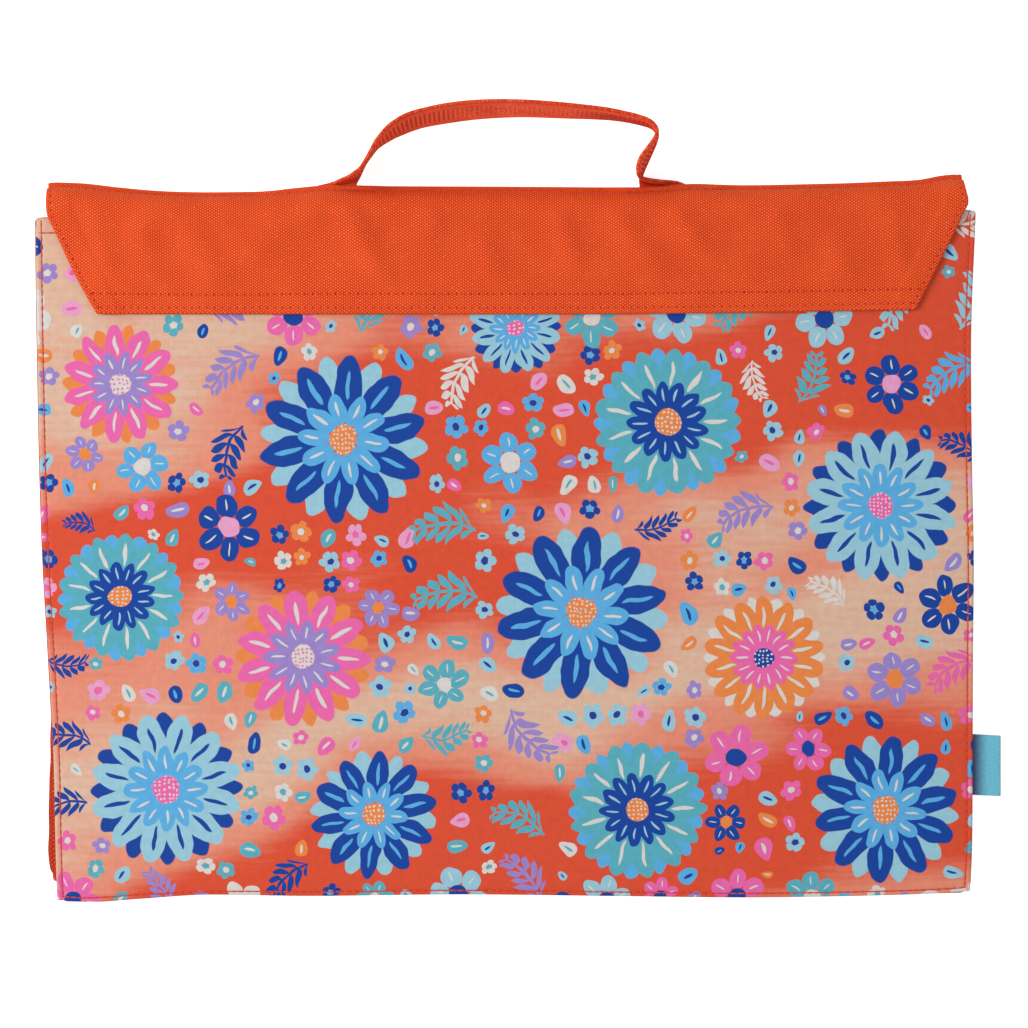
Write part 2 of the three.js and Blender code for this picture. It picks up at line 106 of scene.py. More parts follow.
floor_mesh = bpy.data.meshes.new("floor")
floor_sides = ((-1, -1), (1, -1), (1, 1), (-1, 1))
floor_corners = [(x * FLOOR_REACH, y * FLOOR_REACH, FLOOR_LEVEL) for x, y in floor_sides]
floor_mesh.from_pydata(floor_corners, [], [(0, 1, 2, 3)])
floor = put_in_scene("floor", floor_mesh)
floor_paint, floor_tree, floor_shader = new_material("white floor")
floor_shader.inputs["Base Color"].default_value = FLOOR_SHADE
floor_shader.inputs["Roughness"].default_value = 0.9
floor_shader.inputs["Specular IOR Level"].default_value = 0.1
floor_shader.inputs["Emission Color"].default_value = WHITE
seen = floor_tree.nodes.new("ShaderNodeLightPath")
glow = floor_tree.nodes.new("ShaderNodeMath")
glow.operation = "MULTIPLY"
glow.inputs[1].default_value = FLOOR_GLOW
floor_tree.links.new(seen.outputs["Is Camera Ray"], glow.inputs[0])
floor_tree.links.new(glow.outputs[0], floor_shader.inputs["Emission Strength"])
floor_mesh.materials.append(floor_paint)

# Back panel
# One layer of coated orange polyester that lies on the surface. Its top edge is the lower half
# of the pinched seam; its other edges are turned and sewn to the gusset with a lockstitch.
CLOTH = 1.2  # the thickness of one layer
STITCH_INSET = 2.2  # from a panel's edge to its row of stitches
ROW_PITCH = 3.0  # from one stitch to the next
BACK_WIDTH = 362.0
BACK_LENGTH = 277.0
FINE_STEP = 0.5  # between a cloth's points near its edges
BACK_STEP = 3.2  # between the back panel's other points
BACK_MARGIN = 5.0  # the fine points' reach from its edges
PINCH_REACH = 0.8  # of the pinch along its stitches
PINCH_DEPTH = 0.28
PINCH_LIFT = 0.25
BACK_ROW_TOP = 0.985  # the share of its height at which the side rows end
BACK_THREAD = 0.42  # the thickness of the thread
BACK_HOLE = 0.36  # the reach of a needle hole from its middle
NUMBER, VECTOR, COLOUR = "NodeSocketFloat", "NodeSocketVector", "NodeSocketColor"


def smooth_line(places, values):
    """A cubic line through the values: a Hermite curve between each two places, whose slope at
    a place is the step between its two neighbours over the distance between them."""
    places = np.array(places, float)
    values = np.array(values, float)
    slopes = np.gradient(values, places)
    slopes[1:-1] = (values[2:] - values[:-2]) / (places[2:] - places[:-2])

    def line(at):
        at = np.clip(at, places[0], places[-1])
        right = np.clip(np.searchsorted(places, at), 1, len(places) - 1)
        left = right - 1
        span = places[right] - places[left]
        t = (at - places[left]) / span
        from_left = values[left] * (1 + 2 * t) + slopes[left] * span * t
        from_right = values[right] * (3 - 2 * t) - slopes[right] * span * (1 - t)
        return from_left * (1 - t) ** 2 + from_right * t**2

    return line


def mix(first, second, share):
    """The value that lies a share of the way from first to second."""
    return first + (second - first) * share


def ease(value, start, end):
    """0 before start, 1 after end, and a smooth step between them."""
    t = np.clip((value - start) / (end - start), 0, 1)
    return t * t * (3 - 2 * t)


def bell(distance, width):
    """1 at no distance, falling off to both sides as a bell curve."""
    return np.exp(-((distance / width) ** 2))


def spaced(length, ends, fine, coarse):
    """Shares from 0 to 1 of a length: fine steps within ends of both ends, coarse between."""
    close = np.arange(0, ends, fine)
    inner = np.linspace(ends, length - ends, int((length - 2 * ends) / coarse) + 1)
    return np.concatenate([close, inner, length - close[::-1]]) / length


def unit(vectors):
    """The vectors at length one."""
    return vectors / np.linalg.norm(vectors, axis=-1, keepdims=True)


def run_along(points):
    """The distance along a line of points, from its first point to each."""
    steps = np.linalg.norm(np.diff(points, axis=0), axis=1)
    return np.concatenate([[0], np.cumsum(steps)])


def quad_mesh(name, points, quads, cloth):
    """A smooth mesh of quads in metres, from points in millimetres; cloth is each point's place
    on the flat cloth, kept as a UV map of that name."""
    mesh = bpy.data.meshes.new(name)
    mesh.vertices.add(len(points))
    mesh.vertices.foreach_set("co", (points / 1000).astype(np.float32).ravel())
    mesh.loops.add(quads.size)
    mesh.loops.foreach_set("vertex_index", quads.astype(np.int32).ravel())
    mesh.polygons.add(len(quads))
    mesh.polygons.foreach_set("loop_start", np.arange(0, quads.size, 4, dtype=np.int32))
    mesh.polygons.foreach_set("use_smooth", np.ones(len(quads), dtype=bool))
    places = mesh.uv_layers.new(name="cloth")
    places.data.foreach_set("uv", (cloth[quads.ravel()] / 1000).astype(np.float32).ravel())
    mesh.update(calc_edges=True)
    mesh.validate()
    return mesh


def grid_quads(index):
    """The quads of a grid of point numbers, facing the side that sees its columns run to the
    right and its rows run up."""
    corners = [index[:-1, :-1], index[:-1, 1:], index[1:, 1:], index[1:, :-1]]
    return np.stack([corner.ravel() for corner in corners], axis=1)


def cloth_wall(name, middle, half, cloth, turns=3):
    """A closed wall of cloth round a grid of middle points: its two sides are the grid moved by
    half the thickness along its normals, and a half-round rim of that radius joins them. The
    places on the cloth run on over the rim, out to its middle and back."""
    rows, columns = middle.shape[:2]
    half = np.broadcast_to(half, (rows, columns))
    normal = unit(np.cross(np.gradient(middle, axis=1), np.gradient(middle, axis=0)))
    offset = normal * half[..., None]
    index = np.arange(rows * columns).reshape(rows, columns)
    rim = np.concatenate([index[0, :-1], index[:-1, -1], index[-1, :0:-1], index[:0:-1, 0]])
    flat = middle.reshape(-1, 3)
    edge = flat[rim]
    edge_normal = normal.reshape(-1, 3)[rim]
    edge_half = half.ravel()[rim][:, None]
    outward = unit(np.cross(np.roll(edge, -1, 0) - np.roll(edge, 1, 0), edge_normal))
    angles = np.linspace(np.pi / 2, -np.pi / 2, turns + 2)[1:-1, None, None]
    rings = edge + edge_half * (outward * np.cos(angles) + edge_normal * np.sin(angles))
    count = rows * columns
    ring_index = 2 * count + np.arange(turns * len(rim)).reshape(turns, len(rim))
    levels = np.vstack([rim, ring_index, rim + count])
    closed = np.hstack([levels, levels[:, :1]])
    quads = np.vstack([grid_quads(index), grid_quads(index)[:, ::-1] + count, grid_quads(closed[::-1])])
    points = np.vstack([flat + offset.reshape(-1, 3), flat - offset.reshape(-1, 3), rings.reshape(-1, 3)])
    flat_places = cloth.reshape(-1, 2)
    inner = np.concatenate([index[1, :-1], index[:-1, -2], index[-2, :0:-1], index[:0:-1, 1]])
    away = unit(flat_places[rim] - flat_places[inner])
    rim_places = flat_places[rim] + edge_half * (np.pi / 2 - np.abs(angles)) * away
    places = np.vstack([flat_places, flat_places, rim_places.reshape(-1, 2)])
    return put_in_scene(name, quad_mesh(name, points, quads, places))


def feed(tree, socket, value):
    """Link another node's output to a socket, or set the socket to a plain value."""
    if isinstance(value, bpy.types.NodeSocket):
        tree.links.new(value, socket)
    else:
        socket.default_value = value


def calc(tree, operation, *values):
    """One Math node."""
    node = tree.nodes.new("ShaderNodeMath")
    node.operation = operation
    for socket, value in zip(node.inputs, values):
        feed(tree, socket, value)
    return node.outputs[0]


def times(tree, first, second):
    """The product of two numbers."""
    return calc(tree, "MULTIPLY", first, second)


def scaled(tree, value, gain, base):
    """A number times a gain, plus a base."""
    return calc(tree, "MULTIPLY_ADD", value, gain, base)


def steer(tree, operation, *values):
    """One Vector Math node; a length, distance or dot product comes out as a number."""
    node = tree.nodes.new("ShaderNodeVectorMath")
    node.operation = operation
    sockets = [node.inputs[0], node.inputs[3]] if operation == "SCALE" else node.inputs
    for socket, value in zip(sockets, values):
        feed(tree, socket, value)
    return node.outputs[1 if operation in ("LENGTH", "DISTANCE", "DOT_PRODUCT") else 0]


def blend(tree, share, first, second, kind="RGBA"):
    """One Mix node for colours, numbers or vectors."""
    node = tree.nodes.new("ShaderNodeMix")
    node.data_type = kind
    a, b, out = {"FLOAT": (2, 3, 0), "VECTOR": (4, 5, 1), "RGBA": (6, 7, 2)}[kind]
    feed(tree, node.inputs[0], share)
    feed(tree, node.inputs[a], first)
    feed(tree, node.inputs[b], second)
    return node.outputs[out]


def soft_step(tree, value, start, end):
    """A number that goes smoothly from 0 at start to 1 at end."""
    node = tree.nodes.new("ShaderNodeMapRange")
    node.interpolation_type = "SMOOTHSTEP"
    feed(tree, node.inputs["Value"], value)
    feed(tree, node.inputs["From Min"], start)
    feed(tree, node.inputs["From Max"], end)
    return node.outputs["Result"]


def noise(tree, place, scale, detail=2.0, output="Fac"):
    """A Noise Texture at a place."""
    node = tree.nodes.new("ShaderNodeTexNoise")
    feed(tree, node.inputs["Vector"], place)
    node.inputs["Scale"].default_value = scale
    node.inputs["Detail"].default_value = detail
    return node.outputs[output]


def cloth_places(tree):
    """The place on the flat cloth, in millimetres."""
    node = tree.nodes.new("ShaderNodeUVMap")
    node.uv_map = "cloth"
    return steer(tree, "SCALE", node.outputs["UV"], 1000.0)


def parts_of(tree, vector):
    """The x, y and z of a vector."""
    node = tree.nodes.new("ShaderNodeSeparateXYZ")
    feed(tree, node.inputs[0], vector)
    return node.outputs[0], node.outputs[1], node.outputs[2]


def bump(tree, shader, height, depth):
    """Relief of a depth in millimetres, from a height between 0 and 1."""
    node = tree.nodes.new("ShaderNodeBump")
    node.inputs["Strength"].default_value = 1.0
    node.inputs["Distance"].default_value = depth / 1000
    feed(tree, node.inputs["Height"], height)
    tree.links.new(node.outputs["Normal"], shader.inputs["Normal"])


def new_group(name, inputs, outputs):
    """An empty shader node group with named inputs and outputs, each with its kind of socket."""
    group = bpy.data.node_groups.new(name, "ShaderNodeTree")
    for label, kind in inputs.items():
        group.interface.new_socket(label, in_out="INPUT", socket_type=kind)
    for label, kind in outputs.items():
        group.interface.new_socket(label, in_out="OUTPUT", socket_type=kind)
    enter = group.nodes.new("NodeGroupInput").outputs
    leave = group.nodes.new("NodeGroupOutput").inputs
    return group, enter, leave


def place_group(tree, group, **values):
    """A node group placed in a tree with its own values; its outputs."""
    node = tree.nodes.new("ShaderNodeGroup")
    node.node_tree = group
    for label, value in values.items():
        feed(tree, node.inputs[label], value)
    return node.outputs


def plain_weave():
    """A node group of a plain weave: two crossed sines, which turn by Across and Along radians in
    a millimetre. Height is that of the cloth, Over that of the warp where it is uppermost."""
    inputs = {"Cloth": VECTOR, "Across": NUMBER, "Along": NUMBER}
    tree, enter, leave = new_group("plain weave", inputs, {"Height": NUMBER, "Over": NUMBER})
    x, y, _ = parts_of(tree, enter["Cloth"])
    warp = calc(tree, "SINE", times(tree, x, enter["Across"]))
    weft = calc(tree, "SINE", times(tree, y, enter["Along"]))
    crossing = times(tree, warp, weft)
    rounded = calc(tree, "POWER", calc(tree, "ABSOLUTE", crossing), 0.5)
    warp_over = calc(tree, "GREATER_THAN", crossing, 0.0)
    lift = scaled(tree, warp_over, 0.35, 0.65)
    feed(tree, leave["Height"], times(tree, rounded, lift))
    feed(tree, leave["Over"], times(tree, rounded, warp_over))
    return tree


weave_group = plain_weave()
WARP = 0.885  # the width of a thread
WEFT = 0.573
PALE_FROM = 0.97  # the share of crossings that aren't pale


def weave_of(tree, cloth, warp, weft):
    """The plain weave placed in a tree, with threads of the given widths; its outputs."""
    return place_group(tree, weave_group, Cloth=cloth, Across=np.pi / warp, Along=np.pi / weft)


def orange_cloth_finish(name, dark, base, light):
    """Coated orange polyester: a plain weave with a painted sheen on its upper threads and painted shade
    in its gaps, uneven threads with a few pale ones, and a slow mottling; from three shades: the
    gaps' painted shade, the cloth's own colour and the painted sheen."""
    material, tree, shader = new_material(name)
    place = cloth_places(tree)
    wander = steer(tree, "SCALE", noise(tree, place, 0.35, 1.0, "Color"), 0.3)
    threads = steer(tree, "ADD", place, wander)
    weave = weave_of(tree, threads, WARP, WEFT)
    mottle = noise(tree, place, 0.06, 3.0)
    slub = noise(tree, steer(tree, "MULTIPLY", place, (0.12, 1.75, 1.0)), 1.0, 1.0)
    crossings = steer(tree, "MULTIPLY", threads, (1 / WARP, 1 / WEFT, 0.0))
    lot = tree.nodes.new("ShaderNodeTexWhiteNoise")
    lot.noise_dimensions = "2D"
    feed(tree, lot.inputs["Vector"], steer(tree, "FLOOR", crossings))
    chosen = calc(tree, "GREATER_THAN", lot.outputs["Value"], PALE_FROM)
    pale = times(tree, chosen, weave["Over"])
    # The upper threads take the painted sheen, the gaps between them the painted shade.
    upper = blend(tree, weave["Over"], base, light)
    weave_sheen_and_shade = blend(tree, soft_step(tree, weave["Height"], 0.1, 0.7), dark, upper)
    uneven = blend(tree, times(tree, slub, 0.35), weave_sheen_and_shade, base)
    faded = blend(tree, times(tree, soft_step(tree, mottle, 0.35, 0.8), 0.5), uneven, upper)
    flecked = blend(tree, times(tree, pale, 0.2), faded, paint(250, 176, 132))
    feed(tree, shader.inputs["Base Color"], flecked)
    feed(tree, shader.inputs["Roughness"], scaled(tree, slub, 0.2, 0.6))
    shader.inputs["Specular IOR Level"].default_value = 0.07
    bump(tree, shader, scaled(tree, slub, 0.3, weave["Height"]), 0.09)
    return material


# Its dark shade is painted shade in the weave's gaps, its light shade a painted sheen on the upper threads.
orange_cloth = orange_cloth_finish(
    "orange cloth", paint(170, 27, 10), paint(213, 61, 25), paint(242, 124, 61)
)

# height, front panel's edge, back panel's edge, how far the gusset swells outwards
LEFT_SIDE = np.array([
    (-143, -177, -179.3, 2),
    (-122, -177.7, -181, 3),
    (-86, -178.5, -180.6, 2.4),
    (-43, -180.7, -180.8, 0.6),
    (-8, -182.7, -181, -1),
    (30, -184, -181.5, -2),
    (75, -184.9, -182, -2),
    (98, -185.3, -182.2, -2),
    (128, -185.6, -182.2, -1.5),
    (141, -185.6, -181.4, -1.5),
])
RIGHT_SIDE = np.array([
    (-143, 183.2, 180, -1),
    (-122, 184.3, 181, -1.5),
    (-86, 184.5, 181.5, -1.5),
    (-43, 184.7, 182, -2),
    (-8, 185, 182, -2.5),
    (30, 184.3, 181.5, -2),
    (75, 183.9, 181.5, -1.5),
    (98, 184.4, 181.8, -1.5),
    (128, 185.7, 182.4, -1.5),
    (141, 185.7, 181.4, -1.5),
])
# place across, front panel's edge, back panel's edge
BOTTOM = np.array([
    (-185, -141.6, -135.2),
    (-168, -142.6, -136),
    (-148, -141.3, -136.6),
    (-122, -139.8, -137),
    (-80, -140.2, -137),
    (-20, -139.6, -136.8),
    (40, -140.2, -137),
    (95, -140.8, -137.2),
    (140, -140.2, -137),
    (170, -139.3, -136.4),
    (185, -138.4, -135.4),
])
# place across, outer edge of the pinched seam
RIDGE = np.array([
    (-182, 142.7),
    (-168, 142.2),
    (-154, 140.6),
    (-140, 139.3),
    (-126, 138.7),
    (-108, 138.7),
    (-93, 139.1),
    (-84, 140.1),
    (-70, 141.3),
    (-54, 141.1),
    (-6, 140.9),
    (38, 140.6),
    (54, 140.5),
    (74, 141.8),
    (86, 141.5),
    (102, 141.5),
    (120, 141.9),
    (136, 142.3),
    (152, 143),
    (164, 143.6),
    (174, 145.4),
    (182, 146),
])


def table_lines(table):
    """A smooth line for each further column of a table, along its first column."""
    return [smooth_line(table[:, 0], column) for column in table[:, 1:].T]


left_front, left_back, left_bulge = table_lines(LEFT_SIDE)
right_front, right_back, right_bulge = table_lines(RIGHT_SIDE)
bottom_front, bottom_back = table_lines(BOTTOM)
(ridge,) = table_lines(RIDGE)


def back_surface(u, v):
    """The back panel's middle points and half thickness at shares across and up: a level sheet
    between the four edges, pinched and lifted along the row of stitches."""
    half = CLOTH / 2
    x_straight = mix(-BACK_WIDTH / 2, BACK_WIDTH / 2, u)
    y = mix(bottom_back(x_straight) + half, ridge(x_straight) - half, v)
    x = mix(left_back(y) + half, right_back(y) - half, u)
    row = np.minimum(np.minimum(x - left_back(y), right_back(y) - x), y - bottom_back(x))
    pinch = bell(row - STITCH_INSET, PINCH_REACH)
    level = half + PINCH_LIFT * pinch
    return np.stack([x, y, level], axis=-1), half - PINCH_DEPTH * pinch


back_u, back_v = np.meshgrid(
    spaced(BACK_WIDTH, BACK_MARGIN, FINE_STEP, BACK_STEP),
    spaced(BACK_LENGTH, BACK_MARGIN, FINE_STEP, BACK_STEP),
)
back_middle, back_half = back_surface(back_u, back_v)
back_panel = cloth_wall("back_panel_cloth", back_middle, back_half, back_middle[..., :2])
back_panel.data.materials.append(orange_cloth)
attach(back_panel, "root")
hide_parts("back_panel")


def thread_finish(name, dark, light):
    """Sewing thread: two plies twisted round each other, with painted shade and highlight along the twist,
    from the dark shade to the light one.
    """
    material, tree, shader = new_material(name)
    along, around, _ = parts_of(tree, cloth_places(tree))
    turn = times(tree, around, 2 * np.pi)
    twist = calc(tree, "SINE", scaled(tree, along, THREAD_TWIST, turn))
    ply = soft_step(tree, twist, -0.9, 0.3)
    feed(tree, shader.inputs["Base Color"], blend(tree, ply, dark, light))
    feed(tree, shader.inputs["Roughness"], scaled(tree, ply, -0.15, 0.6))
    bump(tree, shader, ply, 0.05)
    return material


def needle_hole_finish():
    """Painted shade for a needle hole: a dark lens, a little lighter in a random pattern."""
    material, tree, shader = new_material("needle hole")
    fibre = noise(tree, cloth_places(tree), 9.0, 1.0)
    feed(tree, shader.inputs["Base Color"], blend(tree, fibre, paint(132, 14, 6), paint(174, 30, 12)))
    shader.inputs["Roughness"].default_value = 0.9
    shader.inputs["Specular IOR Level"].default_value = 0.05
    return material


THREAD_TWIST = 11.0  # radians to a millimetre
panel_thread = thread_finish("deep orange thread", paint(176, 40, 17), paint(222, 66, 30))
needle_hole_shade = needle_hole_finish()
THREAD_RINGS = 7  # along one stitch
THREAD_ARCH = 0.22  # the rise of a stitch's middle
THREAD_DIP = 0.1  # the fall of its ends
HOLE_STRETCH = 1.3  # along the row
HOLE_SIZES = np.array((0.6, 1.0, 0.5))  # the upper ring, the rim and the lower ring, over the reach
HOLE_HEIGHTS = np.array((0.07, -0.04, -0.2))
ROW_POINTS = 400
ROUND = 8  # sides of a thread and of a needle hole
RING = np.linspace(0, 2 * np.pi, ROUND, endpoint=False)[None, None, :, None]  # angles of its corners
LIDS = np.array([(0, 1, 2, 3), (0, 3, 4, 7), (4, 5, 6, 7)])  # the quads that close a ring of eight


def ring_stacks(rings, first):
    """The quads of many closed bodies, each a stack of rings that face outwards when they turn
    from one side to the other, with a lid on the first and the last ring; numbered from first."""
    count, levels, sides = rings.shape[:3]
    number = first + np.arange(count * levels * sides).reshape(count, levels, sides)
    turned = np.concatenate([number, number[..., :1]], axis=2)
    corners = [turned[:, 1:, :-1], turned[:, 1:, 1:], turned[:, :-1, 1:], turned[:, :-1, :-1]]
    walls = np.stack(corners, axis=-1).reshape(-1, 4)
    lids = [number[:, 0][:, LIDS].reshape(-1, 4), number[:, -1][:, LIDS[:, ::-1]].reshape(-1, 4)]
    return np.vstack([walls, *lids])


def thread_rings(start, end, up, thickness):
    """Threads from each start to its end: rings round a low arch that dips at both ends, thinner
    there than in the middle; and their places along and round the thread."""
    along = unit(end - start)
    side = unit(np.cross(up, along))
    up = np.cross(along, side)
    share = np.linspace(0.05, 0.95, THREAD_RINGS)[None, :, None, None]
    swell = (0.4 + 0.6 * np.sin(np.pi * (share - 0.02) / 0.96) ** 0.5) * thickness / 2
    arch = THREAD_ARCH * np.sin(np.pi * share) ** 0.7 - THREAD_DIP
    spine = start[:, None, None] + (end - start)[:, None, None] * share + up[:, None, None] * arch
    rings = spine + swell * (side[:, None, None] * np.cos(RING) + up[:, None, None] * np.sin(RING))
    reach = np.linalg.norm(end - start, axis=1)[:, None, None]
    places = np.broadcast_arrays(share[..., 0] * reach, RING[..., 0] / (2 * np.pi))
    return rings, np.stack(places, axis=-1)


def hole_rings(hole, along, up, reach):
    """Needle holes as shallow dark lenses of painted shade, longer along the row: an upper ring, the rim,
    and a lower ring sunk in the cloth."""
    side = unit(np.cross(up, along))
    size = HOLE_SIZES[None, :, None, None] * reach[:, None, None, None]
    height = HOLE_HEIGHTS[None, :, None, None]
    flat = HOLE_STRETCH * along[:, None, None] * np.cos(RING) + side[:, None, None] * np.sin(RING)
    return hole[:, None, None] + size * flat + height * up[:, None, None]


def stitch_rows(name, runs, thread, thickness, hole_reaches):
    """Rows of stitches in one mesh. Each run is a line of points with the cloth's normals there;
    at even steps along it lies a needle hole of the run's reach, and a thread from each hole to
    the next."""
    steps = {"hole": [], "hole_along": [], "hole_up": [], "start": [], "end": [], "up": []}
    reaches = []
    for (points, normals), hole_reach in zip(runs, hole_reaches):
        length = run_along(points)
        at = np.linspace(0, length[-1], max(int(round(length[-1] / ROW_PITCH)), 1) + 1)
        place = np.stack([np.interp(at, length, points[:, i]) for i in range(3)], axis=1)
        up = unit(np.stack([np.interp(at, length, normals[:, i]) for i in range(3)], axis=1))
        reaches.append(np.full(len(place), hole_reach))
        steps["hole"].append(place)
        steps["hole_along"].append(unit(np.gradient(place, axis=0)))
        steps["hole_up"].append(up)
        steps["start"].append(place[:-1])
        steps["end"].append(place[1:])
        steps["up"].append(unit(up[:-1] + up[1:]))
    steps = {key: np.vstack(rows) for key, rows in steps.items()}
    threads, thread_places = thread_rings(steps["start"], steps["end"], steps["up"], thickness)
    reach = np.concatenate(reaches)
    holes = hole_rings(steps["hole"], steps["hole_along"], steps["hole_up"], reach)
    thread_quads = ring_stacks(threads, 0)
    hole_quads = ring_stacks(holes, threads.size // 3)
    points = np.vstack([threads.reshape(-1, 3), holes.reshape(-1, 3)])
    places = np.vstack([thread_places.reshape(-1, 2), holes.reshape(-1, 3)[:, :2]])
    mesh = quad_mesh(name, points, np.vstack([thread_quads, hole_quads]), places)
    mesh.materials.append(thread)
    mesh.materials.append(needle_hole_shade)
    finish = np.repeat([0, 1], [len(thread_quads), len(hole_quads)]).astype(np.int32)
    mesh.polygons.foreach_set("material_index", finish)
    piece = put_in_scene(name, mesh)
    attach(piece, "root")
    return piece


def lifted_row(surface, first, second, side=1.0, step=1e-3):
    """Points on one side of a surface(first, second) with their normals, from its middle points,
    its half thickness and the slopes to points a small step away."""
    middle, half = surface(first, second)
    low, high = np.clip(first - step, 0, 1), np.clip(first + step, 0, 1)
    across = surface(high, second)[0] - surface(low, second)[0]
    low, high = np.clip(second - step, 0, 1), np.clip(second + step, 0, 1)
    along = surface(first, high)[0] - surface(first, low)[0]
    normal = side * unit(np.cross(across, along))
    return middle + normal * np.asarray(half)[..., None], normal


inset_u = (STITCH_INSET - CLOTH / 2) / (BACK_WIDTH - CLOTH)
inset_v = (STITCH_INSET - CLOTH / 2) / (BACK_LENGTH - CLOTH)
run = np.linspace(0, 1, ROW_POINTS)
down_v = mix(BACK_ROW_TOP, inset_v, run)
back_stitches = stitch_rows("back_stitches", [
    lifted_row(back_surface, np.full_like(run, inset_u), down_v, -1.0),
    lifted_row(back_surface, mix(inset_u, 1 - inset_u, run), np.full_like(run, inset_v), -1.0),
    lifted_row(back_surface, np.full_like(run, 1 - inset_u), down_v[::-1], -1.0),
], panel_thread, BACK_THREAD, [BACK_HOLE] * 3)

# Gusset
# One strip of the same orange cloth, sewn round three sides between the panels, with its edges
# turned out into the two seams. The empty bag lies on it, so it sags and wrinkles.
MOUTH_Y = 129.0  # the middle of the mouth
MOUTH_END = 185.0  # from the middle to either end of the mouth
MOUTH_SLOPE = 1.4 / MOUTH_END
MOUTH_GAP = 0.8  # from the mouth to the gusset's ends
CORNER = 5.0  # the radius of its bottom corners
GUSSET_HALF = 0.42  # half its thickness
HEM_DROP = 0.5  # how much lower it lies under the front panel's hem
HEM_DROP_FROM = 11.0  # below the mouth, where it starts to drop under the hem
HEM_DROP_TO = 8.0
SIDE_STATIONS = 150  # places at which its profile stands along a side
LOW_STATIONS = 200
TURN_STATIONS = 7
LEFT_END = -130.0  # heights at which its sides end at the corners
RIGHT_END = -128.0
LOW_FROM = -167.0  # where its bottom starts and ends at the corners
LOW_TO = 172.0
LEFT_TURN_X = -170.0  # the places whose edges the corners take up
LEFT_TURN_Y = -133.0
RIGHT_TURN_X = 174.0
RIGHT_TURN_Y = -130.0
LEFT_TURN_BULGE = 1.0
LOW_BULGE = -0.6
RIGHT_TURN_BULGE = -0.8
SWELL = 1.25  # of the swelling in the tables
CRUMPLE = 0.25  # of the wrinkles
PROFILE_POINTS = 37
PROFILE_STEP = 1.4  # of cloth from one row of the profile to the next, about
TUCK = 0.4  # how far its upper edge is tucked in, all round but on the left
# share of the way from the back panel's edge to the front's, distance out from there, height,
# and how much of the swelling and the wrinkles it takes
GUSSET_PROFILE = np.array([
    (0, -0.5, 1.72, 0),
    (0, -1.5, 1.72, 0),
    (0, -2.4, 2.0, 0.05),
    (0.08, -2.6, 3.2, 0.45),
    (0.32, -2.5, 5.0, 0.95),
    (0.66, -2.5, 7.2, 0.95),
    (0.92, -2.6, 9.0, 0.45),
    (1, -2.4, 10.0, 0.05),
    (1, -1.5, 10.33, 0),
    (1, 0.1, 10.33, 0),
])
# rise of a train of wrinkles, its length over a full turn, its lean with the height, its start
WRINKLES = np.array([
    (0.55, 4.1, 0.5, 0),
    (0.5, 9.7, -0.35, 1.3),
    (0.35, 2.3, 0.8, 2.1),
])


def mouth(x):
    """The edge of the front panel's hem: a straight line, a little higher on the right."""
    return MOUTH_Y + MOUTH_SLOPE * x


def row_lines(table):
    """A smooth line for each column of a table, along the numbers of its rows."""
    return [smooth_line(np.arange(len(table)), column) for column in table.T]


def quarter_turn(front_x, back_x, low_x, sign, turn):
    """Stations of the gusset round a bottom corner: out turns from the side to the bottom, and
    both edges follow an arc of the corner's radius."""
    out = np.stack([sign * np.cos(turn), -np.sin(turn)], axis=1)
    shift_x = CORNER * (out[:, 0] - sign)
    rise = CORNER * (1 + out[:, 1])
    head = np.stack([front_x + shift_x, bottom_front(low_x) + rise], axis=1)
    foot = np.stack([back_x + shift_x, bottom_back(low_x) + rise], axis=1)
    return out, head, foot


left_y = np.linspace(mouth(-MOUTH_END) - MOUTH_GAP, LEFT_END, SIDE_STATIONS)
right_y = np.linspace(RIGHT_END, mouth(MOUTH_END) - MOUTH_GAP, SIDE_STATIONS)
low_x = np.linspace(LOW_FROM, LOW_TO, LOW_STATIONS)
turn = np.linspace(0, np.pi / 2, TURN_STATIONS + 2)[1:-1]
left_turn = quarter_turn(left_front(LEFT_TURN_Y), left_back(LEFT_TURN_Y), LEFT_TURN_X, -1.0, turn)
right_turn = quarter_turn(
    right_front(RIGHT_TURN_Y), right_back(RIGHT_TURN_Y), RIGHT_TURN_X, 1.0, turn[::-1]
)
gusset_out = np.vstack([
    np.tile((-1.0, 0.0), (SIDE_STATIONS, 1)), left_turn[0], np.tile((0.0, -1.0), (LOW_STATIONS, 1)),
    right_turn[0], np.tile((1.0, 0.0), (SIDE_STATIONS, 1)),
])
gusset_head = np.vstack([
    np.stack([left_front(left_y), left_y], 1), left_turn[1], np.stack([low_x, bottom_front(low_x)], 1),
    right_turn[1], np.stack([right_front(right_y), right_y], 1),
])
gusset_foot = np.vstack([
    np.stack([left_back(left_y), left_y], 1), left_turn[2], np.stack([low_x, bottom_back(low_x)], 1),
    right_turn[2], np.stack([right_back(right_y), right_y], 1),
])
gusset_bulge = np.concatenate([
    left_bulge(left_y), np.full(TURN_STATIONS, LEFT_TURN_BULGE), np.full(LOW_STATIONS, LOW_BULGE),
    np.full(TURN_STATIONS, RIGHT_TURN_BULGE), right_bulge(right_y),
])
gusset_tuck = np.repeat([0.0, TUCK], [len(left_y), len(gusset_head) - len(left_y)])
gusset_run = run_along(gusset_head)
profile_share = np.linspace(0, len(GUSSET_PROFILE) - 1, PROFILE_POINTS)
p_share, p_out, p_height, p_swell = [line(profile_share)[:, None] for line in row_lines(GUSSET_PROFILE)]
wrinkle = sum(
    rise * np.sin(gusset_run / span + lean * p_height + start) for rise, span, lean, start in WRINKLES
)
wrinkle = wrinkle * (0.6 + 0.4 * np.sin(gusset_run / 31.0))
gusset_relief = p_swell * (SWELL * gusset_bulge + CRUMPLE * wrinkle)
gusset_reach = p_out + gusset_relief - p_share**6 * gusset_tuck
